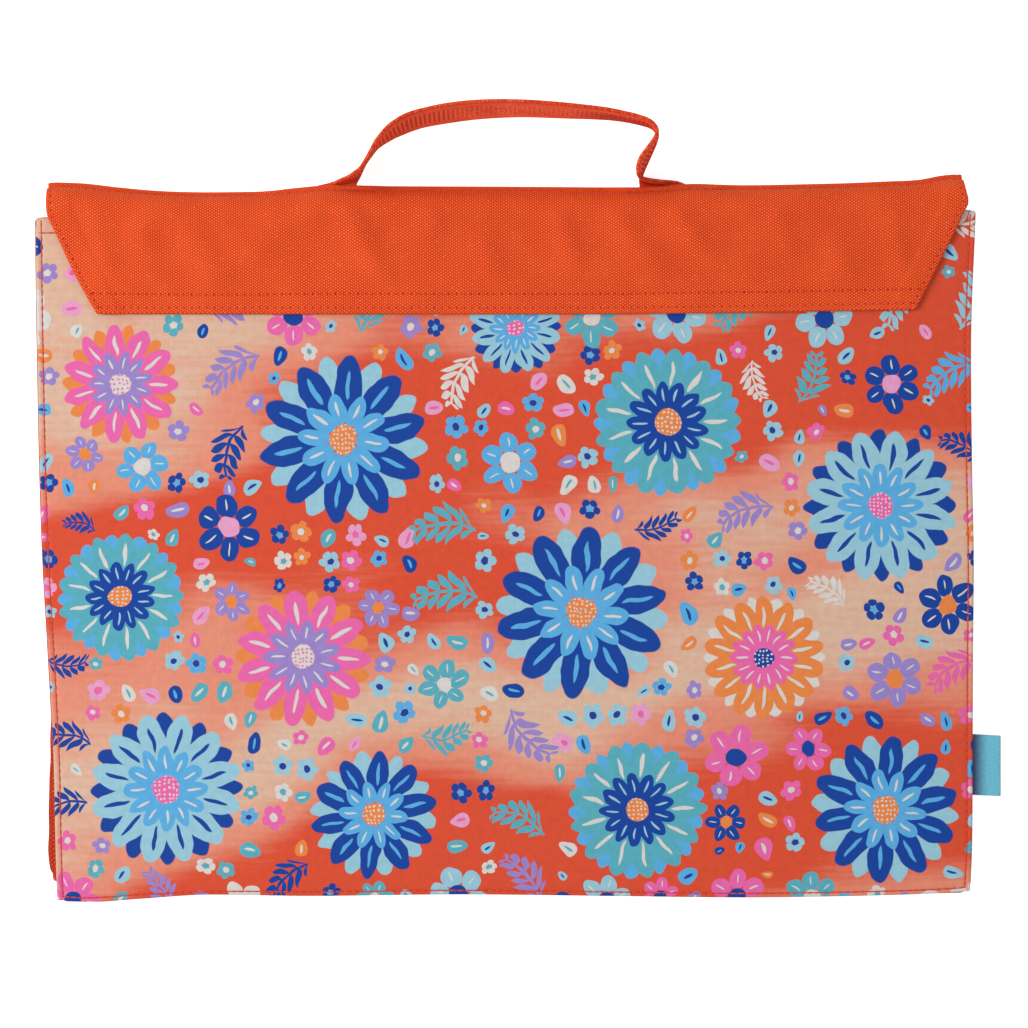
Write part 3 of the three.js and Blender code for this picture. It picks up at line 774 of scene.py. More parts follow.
under_hem = ease(gusset_head[:, 1], MOUTH_Y - HEM_DROP_FROM, MOUTH_Y - HEM_DROP_TO)
under_hem = under_hem * ease(p_height, 5, 10)
gusset_level = p_height - HEM_DROP * under_hem
gusset_plan = mix(gusset_foot[None], gusset_head[None], p_share[..., None])
gusset_plan = gusset_plan + gusset_out[None] * gusset_reach[..., None]
gusset_middle = np.concatenate([gusset_plan, gusset_level[..., None]], axis=-1)
profile_run = profile_share[:, None] * PROFILE_STEP
gusset_places = np.stack(np.broadcast_arrays(gusset_run[None], profile_run), axis=-1)
gusset = cloth_wall("gusset_cloth", gusset_middle, GUSSET_HALF, gusset_places)
# The same cloth in darker shades all over: painted shade, as the strip stands under the panels' edges and
# faces sideways, away from the light.
gusset.data.materials.append(orange_cloth_finish(
    "orange gusset cloth in painted shade", paint(98, 19, 8), paint(170, 46, 20), paint(204, 74, 36)
))
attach(gusset, "root")
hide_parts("gusset")

# Front panel
# Printed polyester with a turned hem at the mouth, topstitched in orange thread near its edges.
# Held up at its seams by the gusset, it lies nearly flat, with soft hollows and faint creases.
FRONT_HEIGHT = 11.4  # of the cloth at its seams
CROWN = 1.8  # the rise of its middle
HEM = 2.2  # the hem's thickness
HEM_DEPTH = 6.0  # from the mouth to the hem's row of stitches
BOTTOM_INSET = 1.6  # from the bottom edge to its row of stitches
CURL_AT = -126.0  # across, where that edge curls under
CURL_REACH = 16.0
CURL = 0.5
HEM_STEP = (0.2, 1.6)  # beyond the hem's row, where its second layer ends
HEM_ENDS = (0.6, 2.4)  # from the sides, where it starts
FRONT_WIDTH = 369.0
FRONT_LENGTH = 269.0
FRONT_FROM = -181.0  # its ends across
FRONT_TO = 185.0
FRONT_STEP = 2.4  # between its points away from the edges
SIDE_MARGIN = 5.5  # the fine points' reach from its sides
HEM_MARGIN = 8.5  # and from its hem and bottom
GROOVE_REACH = 0.6  # of the groove along its stitches
GROOVE_DEPTH = 0.16
BEAD = 0.8  # from an edge to the middle of the bead along it
BEAD_SWELL = 0.08
BEAD_RISE = 0.1
PUCKER = 0.07
PUCKER_REACH = 3.4
LOW_ROW_FROM = -183.0  # the left end of the bottom row
FRONT_ROW_TOP = 0.997  # the share of its height at which the side rows end
HEM_ROW_END = 0.002  # the share of its width that the hem's row leaves at both ends
FRONT_THREAD = 0.62
FRONT_HOLE = 0.32
# place across, place up, reach across, reach up, depth
HOLLOWS = np.array([
    (-120, -96, 60, 16, 0.7),
    (-20, -70, 70, 22, 0.6),
    (90, -105, 55, 16, 0.6),
    (120, 10, 30, 60, 0.6),
    (-130, 20, 28, 60, 0.5),
    (10, 40, 80, 24, 0.4),
])
# place across, place up, reach across, reach up, depth of the faint creases
CREASES = np.array([
    (-131, -98, 9, 1.6, 0.22),
    (-101, -99.5, 7, 1.5, 0.2),
    (-148, -58, 12, 2.2, 0.14),
    (52, -84, 16, 2.4, 0.14),
    (128, -76, 11, 2.0, 0.15),
    (-24, 8, 20, 3.0, 0.12),
    (88, 22, 15, 2.6, 0.12),
])


def front_height(x, y):
    """The height of the front panel's cloth: level at its seams, crowned in its middle, less the
    soft hollows, each a bell across and up."""
    left, right = left_front(y), right_front(y)
    low, high = bottom_front(x), mouth(x)
    u = np.clip((x - left) / (right - left), 0, 1)
    v = np.clip((y - low) / (high - low), 0, 1)
    lift = (1 - np.abs(2 * u - 1) ** 4) * (1 - np.abs(2 * v - 1) ** 6)
    hollow = sum(d * bell(x - cx, rx) * bell(y - cy, ry) for cx, cy, rx, ry, d in HOLLOWS)
    return FRONT_HEIGHT + lift * (CROWN - hollow)


def front_stitch_inset(x):
    """How far above the bottom edge its stitches run: less where that edge curls under."""
    return BOTTOM_INSET - CURL * bell(x - CURL_AT, CURL_REACH)


def front_surface(u, v):
    """The front panel's middle points and half thickness at shares across and up: the crowned
    sheet, with a bead along its turned edges, a groove and small puckers along its stitches, a
    thicker hem at the mouth, and the creases."""
    half = CLOTH / 2
    x_straight = mix(FRONT_FROM, FRONT_TO, u)
    y = mix(bottom_front(x_straight) + half, mouth(x_straight) - half, v)
    x = mix(left_front(y) + half, right_front(y) - half, u)
    at_side = np.minimum(x - left_front(y), right_front(y) - x)
    at_bottom = y - bottom_front(x) + STITCH_INSET - front_stitch_inset(x)
    at_edge = np.minimum(at_side, at_bottom)
    at_top = mouth(x) - y
    edge_groove = bell(at_edge - STITCH_INSET, GROOVE_REACH)
    groove = np.maximum(edge_groove, bell(at_top - HEM_DEPTH, GROOVE_REACH))
    bead = bell(at_edge - BEAD, BEAD)
    hem = (1 - ease(at_top - HEM_DEPTH, *HEM_STEP)) * ease(at_side, *HEM_ENDS)
    pucker_run = np.where(at_side < at_bottom, y, x)
    pucker = np.sin(pucker_run / 1.15) + 0.8 * np.sin(pucker_run / 1.9 + 1.0)
    pucker = pucker * PUCKER * bell(at_edge - STITCH_INSET, PUCKER_REACH)
    crease = sum(d * bell(x - cx, rx) * bell(y - cy, ry) for cx, cy, rx, ry, d in CREASES)
    thick = half + BEAD_SWELL * bead + (HEM - CLOTH) / 2 * hem - GROOVE_DEPTH * groove
    raised = BEAD_RISE * bead - GROOVE_DEPTH / 2 * groove
    z = front_height(x, y) + raised + pucker - crease
    return np.stack([x, y, z], axis=-1), thick


front_u, front_v = np.meshgrid(
    spaced(FRONT_WIDTH, SIDE_MARGIN, FINE_STEP, FRONT_STEP),
    spaced(FRONT_LENGTH, HEM_MARGIN, FINE_STEP, FRONT_STEP),
)
front_middle, front_half = front_surface(front_u, front_v)
front_panel = cloth_wall("front_panel_cloth", front_middle, front_half, front_middle[..., :2])

# place across, place up, reach, colourway of the large flowers of the print
LARGE_FLOWERS = [
    (-64, 40, 33, 0.1),
    (64, 47, 29, 0.7),
    (148, 14, 30, 0.5),
    (-152, -22, 25, 0.7),
    (-80, -46, 27, 0.3),
    (30, -28, 34, 0.1),
    (102, -46, 24, 0.9),
    (-134, -98, 30, 0.5),
    (-52, -108, 25, 0.1),
    (52, -106, 27, 0.7),
    (150, -106, 29, 0.1),
    (-152, 62, 23, 0.3),
    (4, 84, 18, 0.5),
]
MEDIUM_CELL = 29.0  # from one medium motif to the next, about
SMALL_CELL = 10.2
MEDIUM_LEAST = 7.0  # the least reach of a medium motif
SMALL_LEAST = 2.2
LOOSE = 0.42  # how far the motifs stray from an even grid
MOTIF_GAP = 0.7
PRINT_WARP = 0.5  # the width of a thread of the printed cloth
PRINT_WEFT = 0.45
ROYAL = paint(10, 62, 150)
SKY = paint(86, 166, 216)
PALE_BLUE = paint(146, 192, 208)
TEAL = paint(84, 166, 182)
PINK = paint(226, 98, 164)
PALE_PINK = paint(222, 152, 192)
LAVENDER = paint(148, 128, 194)
CREAM = paint(210, 205, 200)
AMBER = paint(226, 130, 66)
CORAL = paint(213, 75, 46)
SALMON = paint(222, 138, 113)
PEACH = paint(214, 180, 156)


def ramp(tree, value, *colours):
    """Even bands of plain colour along a value from 0 to 1."""
    node = tree.nodes.new("ShaderNodeValToRGB")
    node.color_ramp.interpolation = "CONSTANT"
    bands = node.color_ramp.elements
    while len(bands) < len(colours):
        bands.new(1.0)
    for number, colour in enumerate(colours):
        bands[number].position = number / len(colours)
        bands[number].color = colour
    feed(tree, node.inputs["Fac"], value)
    return node.outputs["Color"]


def scatter(tree, place, feature, randomness):
    """A Voronoi Texture with cells of size one in the plane of the cloth."""
    node = tree.nodes.new("ShaderNodeTexVoronoi")
    node.voronoi_dimensions = "2D"
    node.feature = feature
    node.inputs["Scale"].default_value = 1.0
    node.inputs["Randomness"].default_value = randomness
    feed(tree, node.inputs["Vector"], place)
    return node.outputs


def spun(tree, spot, angle):
    """A vector turned in the plane of the cloth by an angle."""
    node = tree.nodes.new("ShaderNodeVectorRotate")
    node.rotation_type = "Z_AXIS"
    feed(tree, node.inputs["Vector"], spot)
    feed(tree, node.inputs["Angle"], angle)
    return node.outputs["Vector"]


def oval(tree, along, aside, centre, length, breadth):
    """Squares of the distances from a centre, over the half length and half breadth: under 1
    inside an oval."""
    far = calc(tree, "DIVIDE", calc(tree, "SUBTRACT", along, centre), length)
    wide = calc(tree, "DIVIDE", aside, breadth)
    return calc(tree, "ADD", times(tree, far, far), times(tree, wide, wide))


def one_flower():
    """A node group of a flower that fills a circle of radius 1: oval petals round its middle,
    a vein in each, and a round heart, as masks from 0 to 1."""
    inputs = {"Spot": VECTOR, "Petals": NUMBER, "Breadth": NUMBER, "Turn": NUMBER}
    tree, enter, leave = new_group("flower", inputs, {"Petal": NUMBER, "Vein": NUMBER, "Heart": NUMBER})
    x, y, _ = parts_of(tree, enter["Spot"])
    reach = steer(tree, "LENGTH", enter["Spot"])
    angle = calc(tree, "ADD", calc(tree, "ARCTAN2", y, x), enter["Turn"])
    petal_angle = calc(tree, "DIVIDE", 2 * np.pi, enter["Petals"])
    share = calc(tree, "FRACT", calc(tree, "DIVIDE", angle, petal_angle))
    swing = times(tree, calc(tree, "SUBTRACT", share, 0.5), petal_angle)
    along = times(tree, reach, calc(tree, "COSINE", swing))
    aside = times(tree, reach, calc(tree, "SINE", swing))
    petal = oval(tree, along, aside, 0.64, 0.36, enter["Breadth"])
    vein = oval(tree, along, aside, 0.66, 0.17, 0.028)
    feed(tree, leave["Petal"], soft_step(tree, petal, 1.06, 0.94))
    feed(tree, leave["Vein"], soft_step(tree, vein, 1.2, 0.8))
    feed(tree, leave["Heart"], soft_step(tree, reach, 0.32, 0.305))
    return tree


def leaf_sprig():
    """A node group of a bent stem with slanting leaves along both its sides, as one mask."""
    tree, enter, leave = new_group("leaf sprig", {"Spot": VECTOR}, {"Leaf": NUMBER})
    x, y, _ = parts_of(tree, enter["Spot"])
    bend = times(tree, times(tree, x, x), -0.28)
    away = calc(tree, "ABSOLUTE", calc(tree, "ADD", calc(tree, "ADD", bend, y), 0.1))
    far = calc(tree, "ABSOLUTE", x)
    lean = scaled(tree, away, -0.85, x)
    share = calc(tree, "FRACT", times(tree, lean, 2.7))
    aside = calc(tree, "ABSOLUTE", calc(tree, "SUBTRACT", share, 0.5))
    reach = scaled(tree, far, -0.3, 0.66)
    along = calc(tree, "MINIMUM", calc(tree, "DIVIDE", away, reach), 1.0)
    rounded = calc(tree, "SINE", times(tree, along, np.pi))
    room = calc(tree, "SUBTRACT", times(tree, rounded, 0.46), aside)
    leaf_ends = soft_step(tree, calc(tree, "ABSOLUTE", lean), 0.94, 0.9)
    leaves = times(tree, soft_step(tree, room, 0.0, 0.05), leaf_ends)
    stem_ends = soft_step(tree, far, 0.96, 0.93)
    stem = times(tree, soft_step(tree, away, 0.06, 0.04), stem_ends)
    feed(tree, leave["Leaf"], calc(tree, "MAXIMUM", leaves, stem))
    return tree


def flower_places():
    """A node group of the large flowers: Edge is the distance to the edge of the nearest one, Spot
    the place in it over its reach, Way its colourway."""
    outputs = {"Edge": NUMBER, "Spot": VECTOR, "Way": NUMBER}
    tree, enter, leave = new_group("large flowers", {"Place": VECTOR}, outputs)
    nearest, spot, way = 500.0, (9.0, 9.0, 0.0), 0.0
    for across, up, reach, colourway in LARGE_FLOWERS:
        here = steer(tree, "SUBTRACT", enter["Place"], (across, up, 0))
        edge = calc(tree, "SUBTRACT", steer(tree, "LENGTH", here), reach)
        nearer = calc(tree, "LESS_THAN", edge, nearest)
        nearest = calc(tree, "MINIMUM", edge, nearest)
        spot = blend(tree, nearer, spot, steer(tree, "SCALE", here, 1 / reach), "VECTOR")
        way = blend(tree, nearer, way, colourway, "FLOAT")
    feed(tree, leave["Edge"], nearest)
    feed(tree, leave["Spot"], spot)
    feed(tree, leave["Way"], way)
    return tree


def motif_group(name, cell, least, *larger):
    """A node group of motifs, one to a cell of a loose grid. Each reaches as far as its neighbours
    and the larger motifs leave room, and is left out where that is less than the least. Edge is
    the distance to its edge, Spot the place in it over its reach, Lot three random numbers."""
    group, enter, leave = new_group(name, {"Place": VECTOR}, {"Edge": NUMBER, "Spot": VECTOR, "Lot": COLOUR})
    in_cells = steer(group, "SCALE", enter["Place"], 1 / cell)
    cells = scatter(group, in_cells, "F1", LOOSE)
    free = scatter(group, in_cells, "N_SPHERE_RADIUS", LOOSE)["Radius"]
    centre = steer(group, "SCALE", cells["Position"], cell)
    reach = times(group, calc(group, "MINIMUM", free, 0.47), 0.96 * cell)
    for other in larger:
        room = calc(group, "SUBTRACT", place_group(group, other, Place=centre)["Edge"], MOTIF_GAP)
        reach = calc(group, "MINIMUM", reach, room)
    left_out = calc(group, "LESS_THAN", reach, least)
    reach = calc(group, "MAXIMUM", reach, least)
    here = steer(group, "SUBTRACT", enter["Place"], centre)
    edge = calc(group, "SUBTRACT", steer(group, "LENGTH", here), reach)
    feed(group, leave["Edge"], scaled(group, left_out, 100.0, edge))
    turn = times(group, parts_of(group, cells["Color"])[2], 2 * np.pi)
    in_reach = steer(group, "SCALE", here, calc(group, "DIVIDE", 1.0, reach))
    feed(group, leave["Spot"], spun(group, in_reach, turn))
    feed(group, leave["Lot"], cells["Color"])
    return group


flower_group = one_flower()
sprig_group = leaf_sprig()
large_group = flower_places()
medium_group = motif_group("medium motifs", MEDIUM_CELL, MEDIUM_LEAST, large_group)
small_group = motif_group("small motifs", SMALL_CELL, SMALL_LEAST, large_group, medium_group)


def painted_ground(tree, cloth):
    """Soft slanting waves from coral through salmon to peach, with faint brush marks."""
    x, y, _ = parts_of(tree, cloth)
    drift = noise(tree, steer(tree, "MULTIPLY", cloth, (0.006, 0.012, 1.0)), 1.0, 2.0)
    slant = scaled(tree, x, -0.009, times(tree, y, 0.034))
    wave = calc(tree, "SINE", calc(tree, "ADD", slant, times(tree, drift, 7.0)))
    brush = noise(tree, steer(tree, "MULTIPLY", cloth, (0.05, 0.5, 1.0)), 1.0, 3.0)
    tide = calc(tree, "ADD", wave, scaled(tree, brush, 0.6, -0.3))
    ground = blend(tree, soft_step(tree, tide, -0.55, 0.35), CORAL, SALMON)
    return blend(tree, soft_step(tree, tide, 0.4, 1.15), ground, PEACH)


def small_motifs(tree, place, ink):
    """Seeds with a line along them and five-petalled florets with a round heart, over the ink."""
    motif = place_group(tree, small_group, Place=place)
    shown = calc(tree, "LESS_THAN", motif["Edge"], 1.0)
    hue, kind, _ = parts_of(tree, motif["Lot"])
    seed_x, seed_y, _ = parts_of(tree, motif["Spot"])
    taper = scaled(tree, seed_x, 0.18, 0.64)
    seed = soft_step(tree, oval(tree, seed_x, seed_y, 0.0, 0.95, taper), 1.1, 0.9)
    seed_line = soft_step(tree, oval(tree, seed_x, seed_y, 0.08, 0.5, 0.13), 1.2, 0.8)
    floret = place_group(tree, flower_group, Spot=motif["Spot"], Petals=5.0, Breadth=0.4, Turn=0.0)
    is_floret = calc(tree, "GREATER_THAN", kind, 0.5)
    shape = blend(tree, is_floret, seed, floret["Petal"], "FLOAT")
    line = blend(tree, is_floret, seed_line, floret["Heart"], "FLOAT")
    paints = ramp(tree, hue, PINK, SKY, AMBER, TEAL, PALE_BLUE, PALE_PINK, ROYAL, LAVENDER, PALE_BLUE, CREAM)
    lines = ramp(tree, hue, CREAM, ROYAL, CREAM, CREAM, ROYAL, PINK, SKY, CREAM, ROYAL, TEAL)
    ink = blend(tree, times(tree, shape, shown), ink, paints)
    return blend(tree, times(tree, line, shown), ink, lines)


def medium_motifs(tree, place, ink):
    """Six-petalled blossoms with a line in each petal, and leafy sprigs, over the ink."""
    motif = place_group(tree, medium_group, Place=place)
    shown = calc(tree, "LESS_THAN", motif["Edge"], 1.0)
    hue, kind, _ = parts_of(tree, motif["Lot"])
    blossom = place_group(tree, flower_group, Spot=motif["Spot"], Petals=6.0, Breadth=0.31, Turn=0.0)
    sprig = place_group(tree, sprig_group, Spot=motif["Spot"])["Leaf"]
    leafy = calc(tree, "GREATER_THAN", kind, 0.45)
    paints = ramp(tree, hue, ROYAL, SKY, PINK, TEAL, ROYAL, LAVENDER, PALE_BLUE, CREAM)
    hearts = ramp(tree, hue, AMBER, CREAM, ROYAL, CREAM, PALE_PINK, AMBER, ROYAL, PINK)
    shape = blend(tree, leafy, blossom["Petal"], sprig, "FLOAT")
    in_blossom = times(tree, calc(tree, "SUBTRACT", 1.0, leafy), shown)
    ink = blend(tree, times(tree, shape, shown), ink, paints)
    ink = blend(tree, times(tree, blossom["Vein"], in_blossom), ink, CREAM)
    return blend(tree, times(tree, blossom["Heart"], in_blossom), ink, hearts)


def large_flowers(tree, place, ink):
    """Full flowers in three turns of petals round a speckled heart, over the ink."""
    flower = place_group(tree, large_group, Place=place)
    spot, hue = flower["Spot"], flower["Way"]
    petals = calc(tree, "ADD", 9.0, calc(tree, "ROUND", times(tree, hue, 5.0)))
    between = calc(tree, "ADD", hue, calc(tree, "DIVIDE", np.pi, petals))
    behind = place_group(tree, flower_group, Spot=spot, Petals=petals, Breadth=0.15, Turn=between)
    outer = place_group(tree, flower_group, Spot=spot, Petals=petals, Breadth=0.17, Turn=hue)
    inner_spot = steer(tree, "SCALE", spot, 1.8)
    inner = place_group(tree, flower_group, Spot=inner_spot, Petals=petals, Breadth=0.18, Turn=between)
    specks = scatter(tree, steer(tree, "SCALE", place, 0.6), "F1", 0.4)
    speck = soft_step(tree, specks["Distance"], 0.3, 0.22)
    ink = blend(tree, behind["Petal"], ink, ramp(tree, hue, PALE_BLUE, AMBER, ROYAL, SKY, CREAM))
    ink = blend(tree, outer["Petal"], ink, ramp(tree, hue, ROYAL, PINK, PALE_BLUE, TEAL, AMBER))
    ink = blend(tree, outer["Vein"], ink, ramp(tree, hue, SKY, CREAM, ROYAL, CREAM, CREAM))
    ink = blend(tree, inner["Petal"], ink, ramp(tree, hue, SKY, LAVENDER, SKY, ROYAL, PINK))
    ink = blend(tree, inner["Vein"], ink, ramp(tree, hue, CREAM, CREAM, CREAM, PALE_BLUE, CREAM))
    ink = blend(tree, inner["Heart"], ink, ramp(tree, hue, AMBER, CREAM, PINK, AMBER, ROYAL))
    dotted = times(tree, inner["Heart"], speck)
    return blend(tree, dotted, ink, ramp(tree, hue, CREAM, PINK, CREAM, CREAM, CREAM))


def printed_cloth_finish():
    """Printed polyester: the painted ground and three sizes of flowers, leaves and seeds with hand-drawn
    edges, printed on a fine plain weave whose gaps carry painted shade, and with a little uneven wear."""
    material, tree, shader = new_material("printed cloth")
    cloth = cloth_places(tree)
    unsteady = steer(tree, "SUBTRACT", noise(tree, cloth, 0.11, 1.0, "Color"), (0.5, 0.5, 0.5))
    drawn = steer(tree, "ADD", cloth, steer(tree, "SCALE", unsteady, 3.2))
    place = steer(tree, "MULTIPLY", drawn, (1, 1, 0))
    ink = painted_ground(tree, cloth)
    ink = small_motifs(tree, place, ink)
    ink = medium_motifs(tree, place, ink)
    ink = large_flowers(tree, place, ink)
    weave = weave_of(tree, cloth, PRINT_WARP, PRINT_WEFT)
    wash = noise(tree, place, 0.35, 3.0)
    # Painted shade in the weave's gaps and a painted highlight on its upper threads darken and lighten the
    # ink; the wash adds uneven wear.
    weave_sheen_and_shade = scaled(tree, weave["Height"], 0.26, 0.63)
    wear_and_weave_shade = scaled(tree, wash, 0.24, weave_sheen_and_shade)
    feed(tree, shader.inputs["Base Color"], steer(tree, "SCALE", ink, wear_and_weave_shade))
    feed(tree, shader.inputs["Roughness"], scaled(tree, wash, 0.15, 0.55))
    shader.inputs["Specular IOR Level"].default_value = 0.16
    bump(tree, shader, weave["Height"], 0.05)
    return material


front_panel.data.materials.append(printed_cloth_finish())
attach(front_panel, "root")
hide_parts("front_panel")

inset_u = (STITCH_INSET - CLOTH / 2) / (FRONT_WIDTH - CLOTH)
inset_v = (BOTTOM_INSET - CLOTH / 2) / (FRONT_LENGTH - CLOTH)
hem_v = 1 - (HEM_DEPTH - CLOTH / 2) / (FRONT_LENGTH - CLOTH)
down_v = mix(FRONT_ROW_TOP, inset_v, run)
low_u = mix(inset_u, 1 - inset_u, run)
low_inset = front_stitch_inset(mix(LOW_ROW_FROM, FRONT_TO, low_u))
low_v = (low_inset - CLOTH / 2) / (FRONT_LENGTH - CLOTH)
hem_u = mix(HEM_ROW_END, 1 - HEM_ROW_END, run)
front_stitches = stitch_rows("front_stitches", [
    lifted_row(front_surface, np.full_like(run, inset_u), down_v),
    lifted_row(front_surface, low_u, low_v),
    lifted_row(front_surface, np.full_like(run, 1 - inset_u), down_v[::-1]),
    lifted_row(front_surface, hem_u, np.full_like(run, hem_v)),
], panel_thread, FRONT_THREAD, [FRONT_HOLE] * 4)

# Flap
# Two layers of the orange cloth, sewn into the top seam over the handle's ends, rolled over the
# mouth and lying on the front panel. Topstitched along its slanting sides and twice along its
# free edge; soft folds run from the handle's ends and across it.
FLAP_CLOTH = 1.8  # the thickness of its two layers
FLAP_DROP = 51.0  # from the seam's outer edge to its free edge
FLAP_LENGTH = 61.0  # the same along the cloth
LIES_FROM = 32.0  # along the cloth, where it lies on the front panel
FLAP_CORNER = 2.0  # the radius of its free corners
SIDE_ROW = 1.8  # from a side to its row of stitches
EDGE_ROWS = (2.6, 8.0)  # from the free edge to its two rows
LIP = 2.3  # from the seam's outer edge to its row of stitches
HANDLE_ENDS = (-72.4, 66.0)  # across, the middles of the handle's ends
WEBBING = 1.5  # the webbing's thickness, about
WEBBING_GAP = 0.45  # between the webbing and the flap over it
WEBBING_REACH = (17.0, 28.0)  # from a handle end's middle, where the lip falls and lies level again
SEAM_REACH = (2.4, 9.0)  # along the cloth, where the webbing stops lifting it
OVER_HEM = (14.0, 7.0)  # below the mouth, where it starts to rise and lies on the hem
GAP = 0.3  # that neighbouring pieces keep
ROLLED_TO = 21.0  # along the cloth, where the roll ends
FOLDS_START = (14.0, 24.0)  # along the cloth, where the folds start and stand full
FOLDS_END = (44.0, 56.0)  # where they sink again
FOLDS_HELD = 0.85  # of a fold, by the stitched edge
SLANT = 0.9  # distance from a slanting side over the distance across
SLANT_START = (10.0, 16.0)  # back from the seam's outer edge
ALLOWANCE = (8.2, 10.4)  # from a side, where its seam allowance ends
ALLOWANCE_START = (12.0, 20.0)  # along the cloth
ALLOWANCE_STEP = 0.22
FLAP_PINCH = 0.28
FLAP_PINCH_REACH = 0.75
FLAP_WIDTH = 361.0
FLAP_MARGIN = 4.0  # the fine points' reach from its sides
FLAP_STEP = 0.76
SIDE_ROW_TOP = 0.06  # the share of its length at which the side rows start
EDGE_ROW_END = 2.2 / 323  # the share of its width that the other rows leave at both ends
FLAP_THREAD = 0.36
FLAP_HOLES = (0.44, 0.44, 0.42, 0.42, 0.26)  # smallest in the lip, where the seam closes over them
# distance along the cloth, distance back from the seam's outer edge, height
ROLL = np.array([
    (0, 0, 2.4),
    (2.4, 2.4, 2.4),
    (4.4, 3.7, 4),
    (7.4, 3.4, 7.1),
    (10.9, 3.7, 10.5),
    (14.8, 5.9, 13.6),
    (19.2, 9.7, 15.1),
    (25.2, 15.2, 14.7),
    (32, 22, 13.9),
    (61, 51, 13.6),
])
# distance back from the seam's outer edge, left side, right side
FLAP_SIDES = np.array([
    (0, -182.2, 181.6),
    (4, -181.5, 181.4),
    (7.6, -181.2, 181.7),
    (10, -181, 182.2),
    (12.2, -180.8, 182.2),
    (14, -180.4, 181.2),
    (20, -177.4, 178.2),
    (36, -169.6, 169.6),
    (51, -161, 161.6),
])
FLAP_EDGE = np.array([(-182, 89.6), (-60, 89.4), (60, 89.6), (182, 91.6)])
# where a fold's crest starts and ends, its half width and its rise
FLAP_FOLDS = np.array([
    (-66, 136, -46, 99, 5.5, 1.9),
    (-70, 135, -111, 107, 6.5, 1.5),
    (42, 129, 60, 108, 5.5, 1.6),
    (65, 133, 80, 112, 5.5, 1.8),
    (-144, 125, -139.5, 106, 6, 1.4),
    (-127, 124, -112, 105, 6, 1.3),
    (-30, 131, -27, 122, 6, 1.3),
    (20, 129, 28, 109, 5.5, 1.5),
    (105, 131, 112, 115, 5.5, 1.4),
    (-9, 120, -4.5, 105, 5.5, 1.2),
    (129, 120, 134, 106, 6, 1.2),
    (-162, 132, -157.5, 106, 5, 1.1),
    (152, 126, 157, 104, 5.5, 1.2),
])
roll_back, roll_height = table_lines(ROLL)
flap_left, flap_right = table_lines(FLAP_SIDES)
(flap_edge,) = table_lines(FLAP_EDGE)


def fold_relief(x, y):
    """The flap's folds: each a bell across its crest line, fading in and out at its ends."""
    relief = np.zeros_like(x)
    for from_x, from_y, to_x, to_y, width, rise in FLAP_FOLDS:
        run_x, run_y = to_x - from_x, to_y - from_y
        length = np.hypot(run_x, run_y)
        share = ((x - from_x) * run_x + (y - from_y) * run_y) / length**2
        aside = ((x - from_x) * run_y - (y - from_y) * run_x) / length
        fade = ease(share, -0.3, 0.25) * (1 - ease(share, 0.7, 1.4))
        relief = relief + rise * bell(aside, width) * fade
    return relief


def over_webbing(x):
    """1 over each end of the handle in the seam, 0 away from them."""
    return sum(1 - ease(np.abs(x - end), *WEBBING_REACH) for end in HANDLE_ENDS)


def side_slant(back):
    """Distance from the flap's side over the distance across: 1 by the seam, less where it slants."""
    return mix(1.0, SLANT, ease(back, *SLANT_START))


def flap_surface(u, v):
    """The flap's middle points and half thickness at shares across and along its cloth: the roll
    over the mouth, then the sheet lying on the front panel with its folds, round at its two free
    corners, thicker over its seam allowances and pinched along each row of stitches."""
    half = FLAP_CLOTH / 2
    along = mix(half, FLAP_LENGTH - half, v)
    back = roll_back(along)
    corner = np.clip(along - FLAP_LENGTH + FLAP_CORNER, 0, FLAP_CORNER - half)
    tuck = FLAP_CORNER - np.sqrt(FLAP_CORNER**2 - corner**2)
    left, right = flap_left(back) + tuck, flap_right(back) - tuck
    x = mix(left + half, right - half, u)
    top = ridge(x)
    y = top - back * (top - flap_edge(x)) / FLAP_DROP
    at_seam = 1 - ease(along, *SEAM_REACH)
    rolled = roll_height(along) + (WEBBING + WEBBING_GAP) * over_webbing(x) * at_seam
    loose = ease(along, *FOLDS_START) * (1 - FOLDS_HELD * ease(along, *FOLDS_END))
    under = mix(CLOTH, HEM, ease(mouth(x) - y, *OVER_HEM)) / 2
    lying = front_height(x, y) + under + GAP + half
    z = mix(rolled, lying, ease(along, ROLLED_TO, LIES_FROM)) + fold_relief(x, y) * loose
    at_side = np.minimum(x - left, right - x) * side_slant(back)
    at_edge = FLAP_LENGTH - along
    seam_step = (1 - ease(at_side, *ALLOWANCE)) * ease(along, *ALLOWANCE_START)
    seam_step = ALLOWANCE_STEP * seam_step
    rows = [(at_side, SIDE_ROW)] + [(at_edge, row) for row in EDGE_ROWS]
    pinch = np.max([bell(distance - row, FLAP_PINCH_REACH) for distance, row in rows], axis=0)
    pucker_run = np.where(at_side < at_edge, along, x)
    pucker = 0.8 + 0.2 * np.cos(2 * np.pi * pucker_run / ROW_PITCH)
    thick = half + seam_step - FLAP_PINCH * pinch * pucker
    z = z + seam_step
    return np.stack([x, y, z], axis=-1), thick


# rows of points on the roll, on the lying sheet and on the stitched edge
flap_rows = np.concatenate([np.linspace(0, 22, 38), np.linspace(22.8, 50, 26), np.linspace(50.5, 60.1, 24)])
flap_rows = flap_rows / flap_rows[-1]
flap_columns = spaced(FLAP_WIDTH, FLAP_MARGIN, FINE_STEP, FLAP_STEP)
flap_u, flap_v = np.meshgrid(flap_columns, flap_rows)
flap_middle, flap_half = flap_surface(flap_u, flap_v)
flap_places = np.stack([flap_middle[..., 0], -FLAP_LENGTH * flap_v], axis=-1)
flap = cloth_wall("flap_cloth", flap_middle[:, ::-1], flap_half[:, ::-1], flap_places[:, ::-1])
flap.data.materials.append(orange_cloth)
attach(flap, "root")
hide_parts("flap")


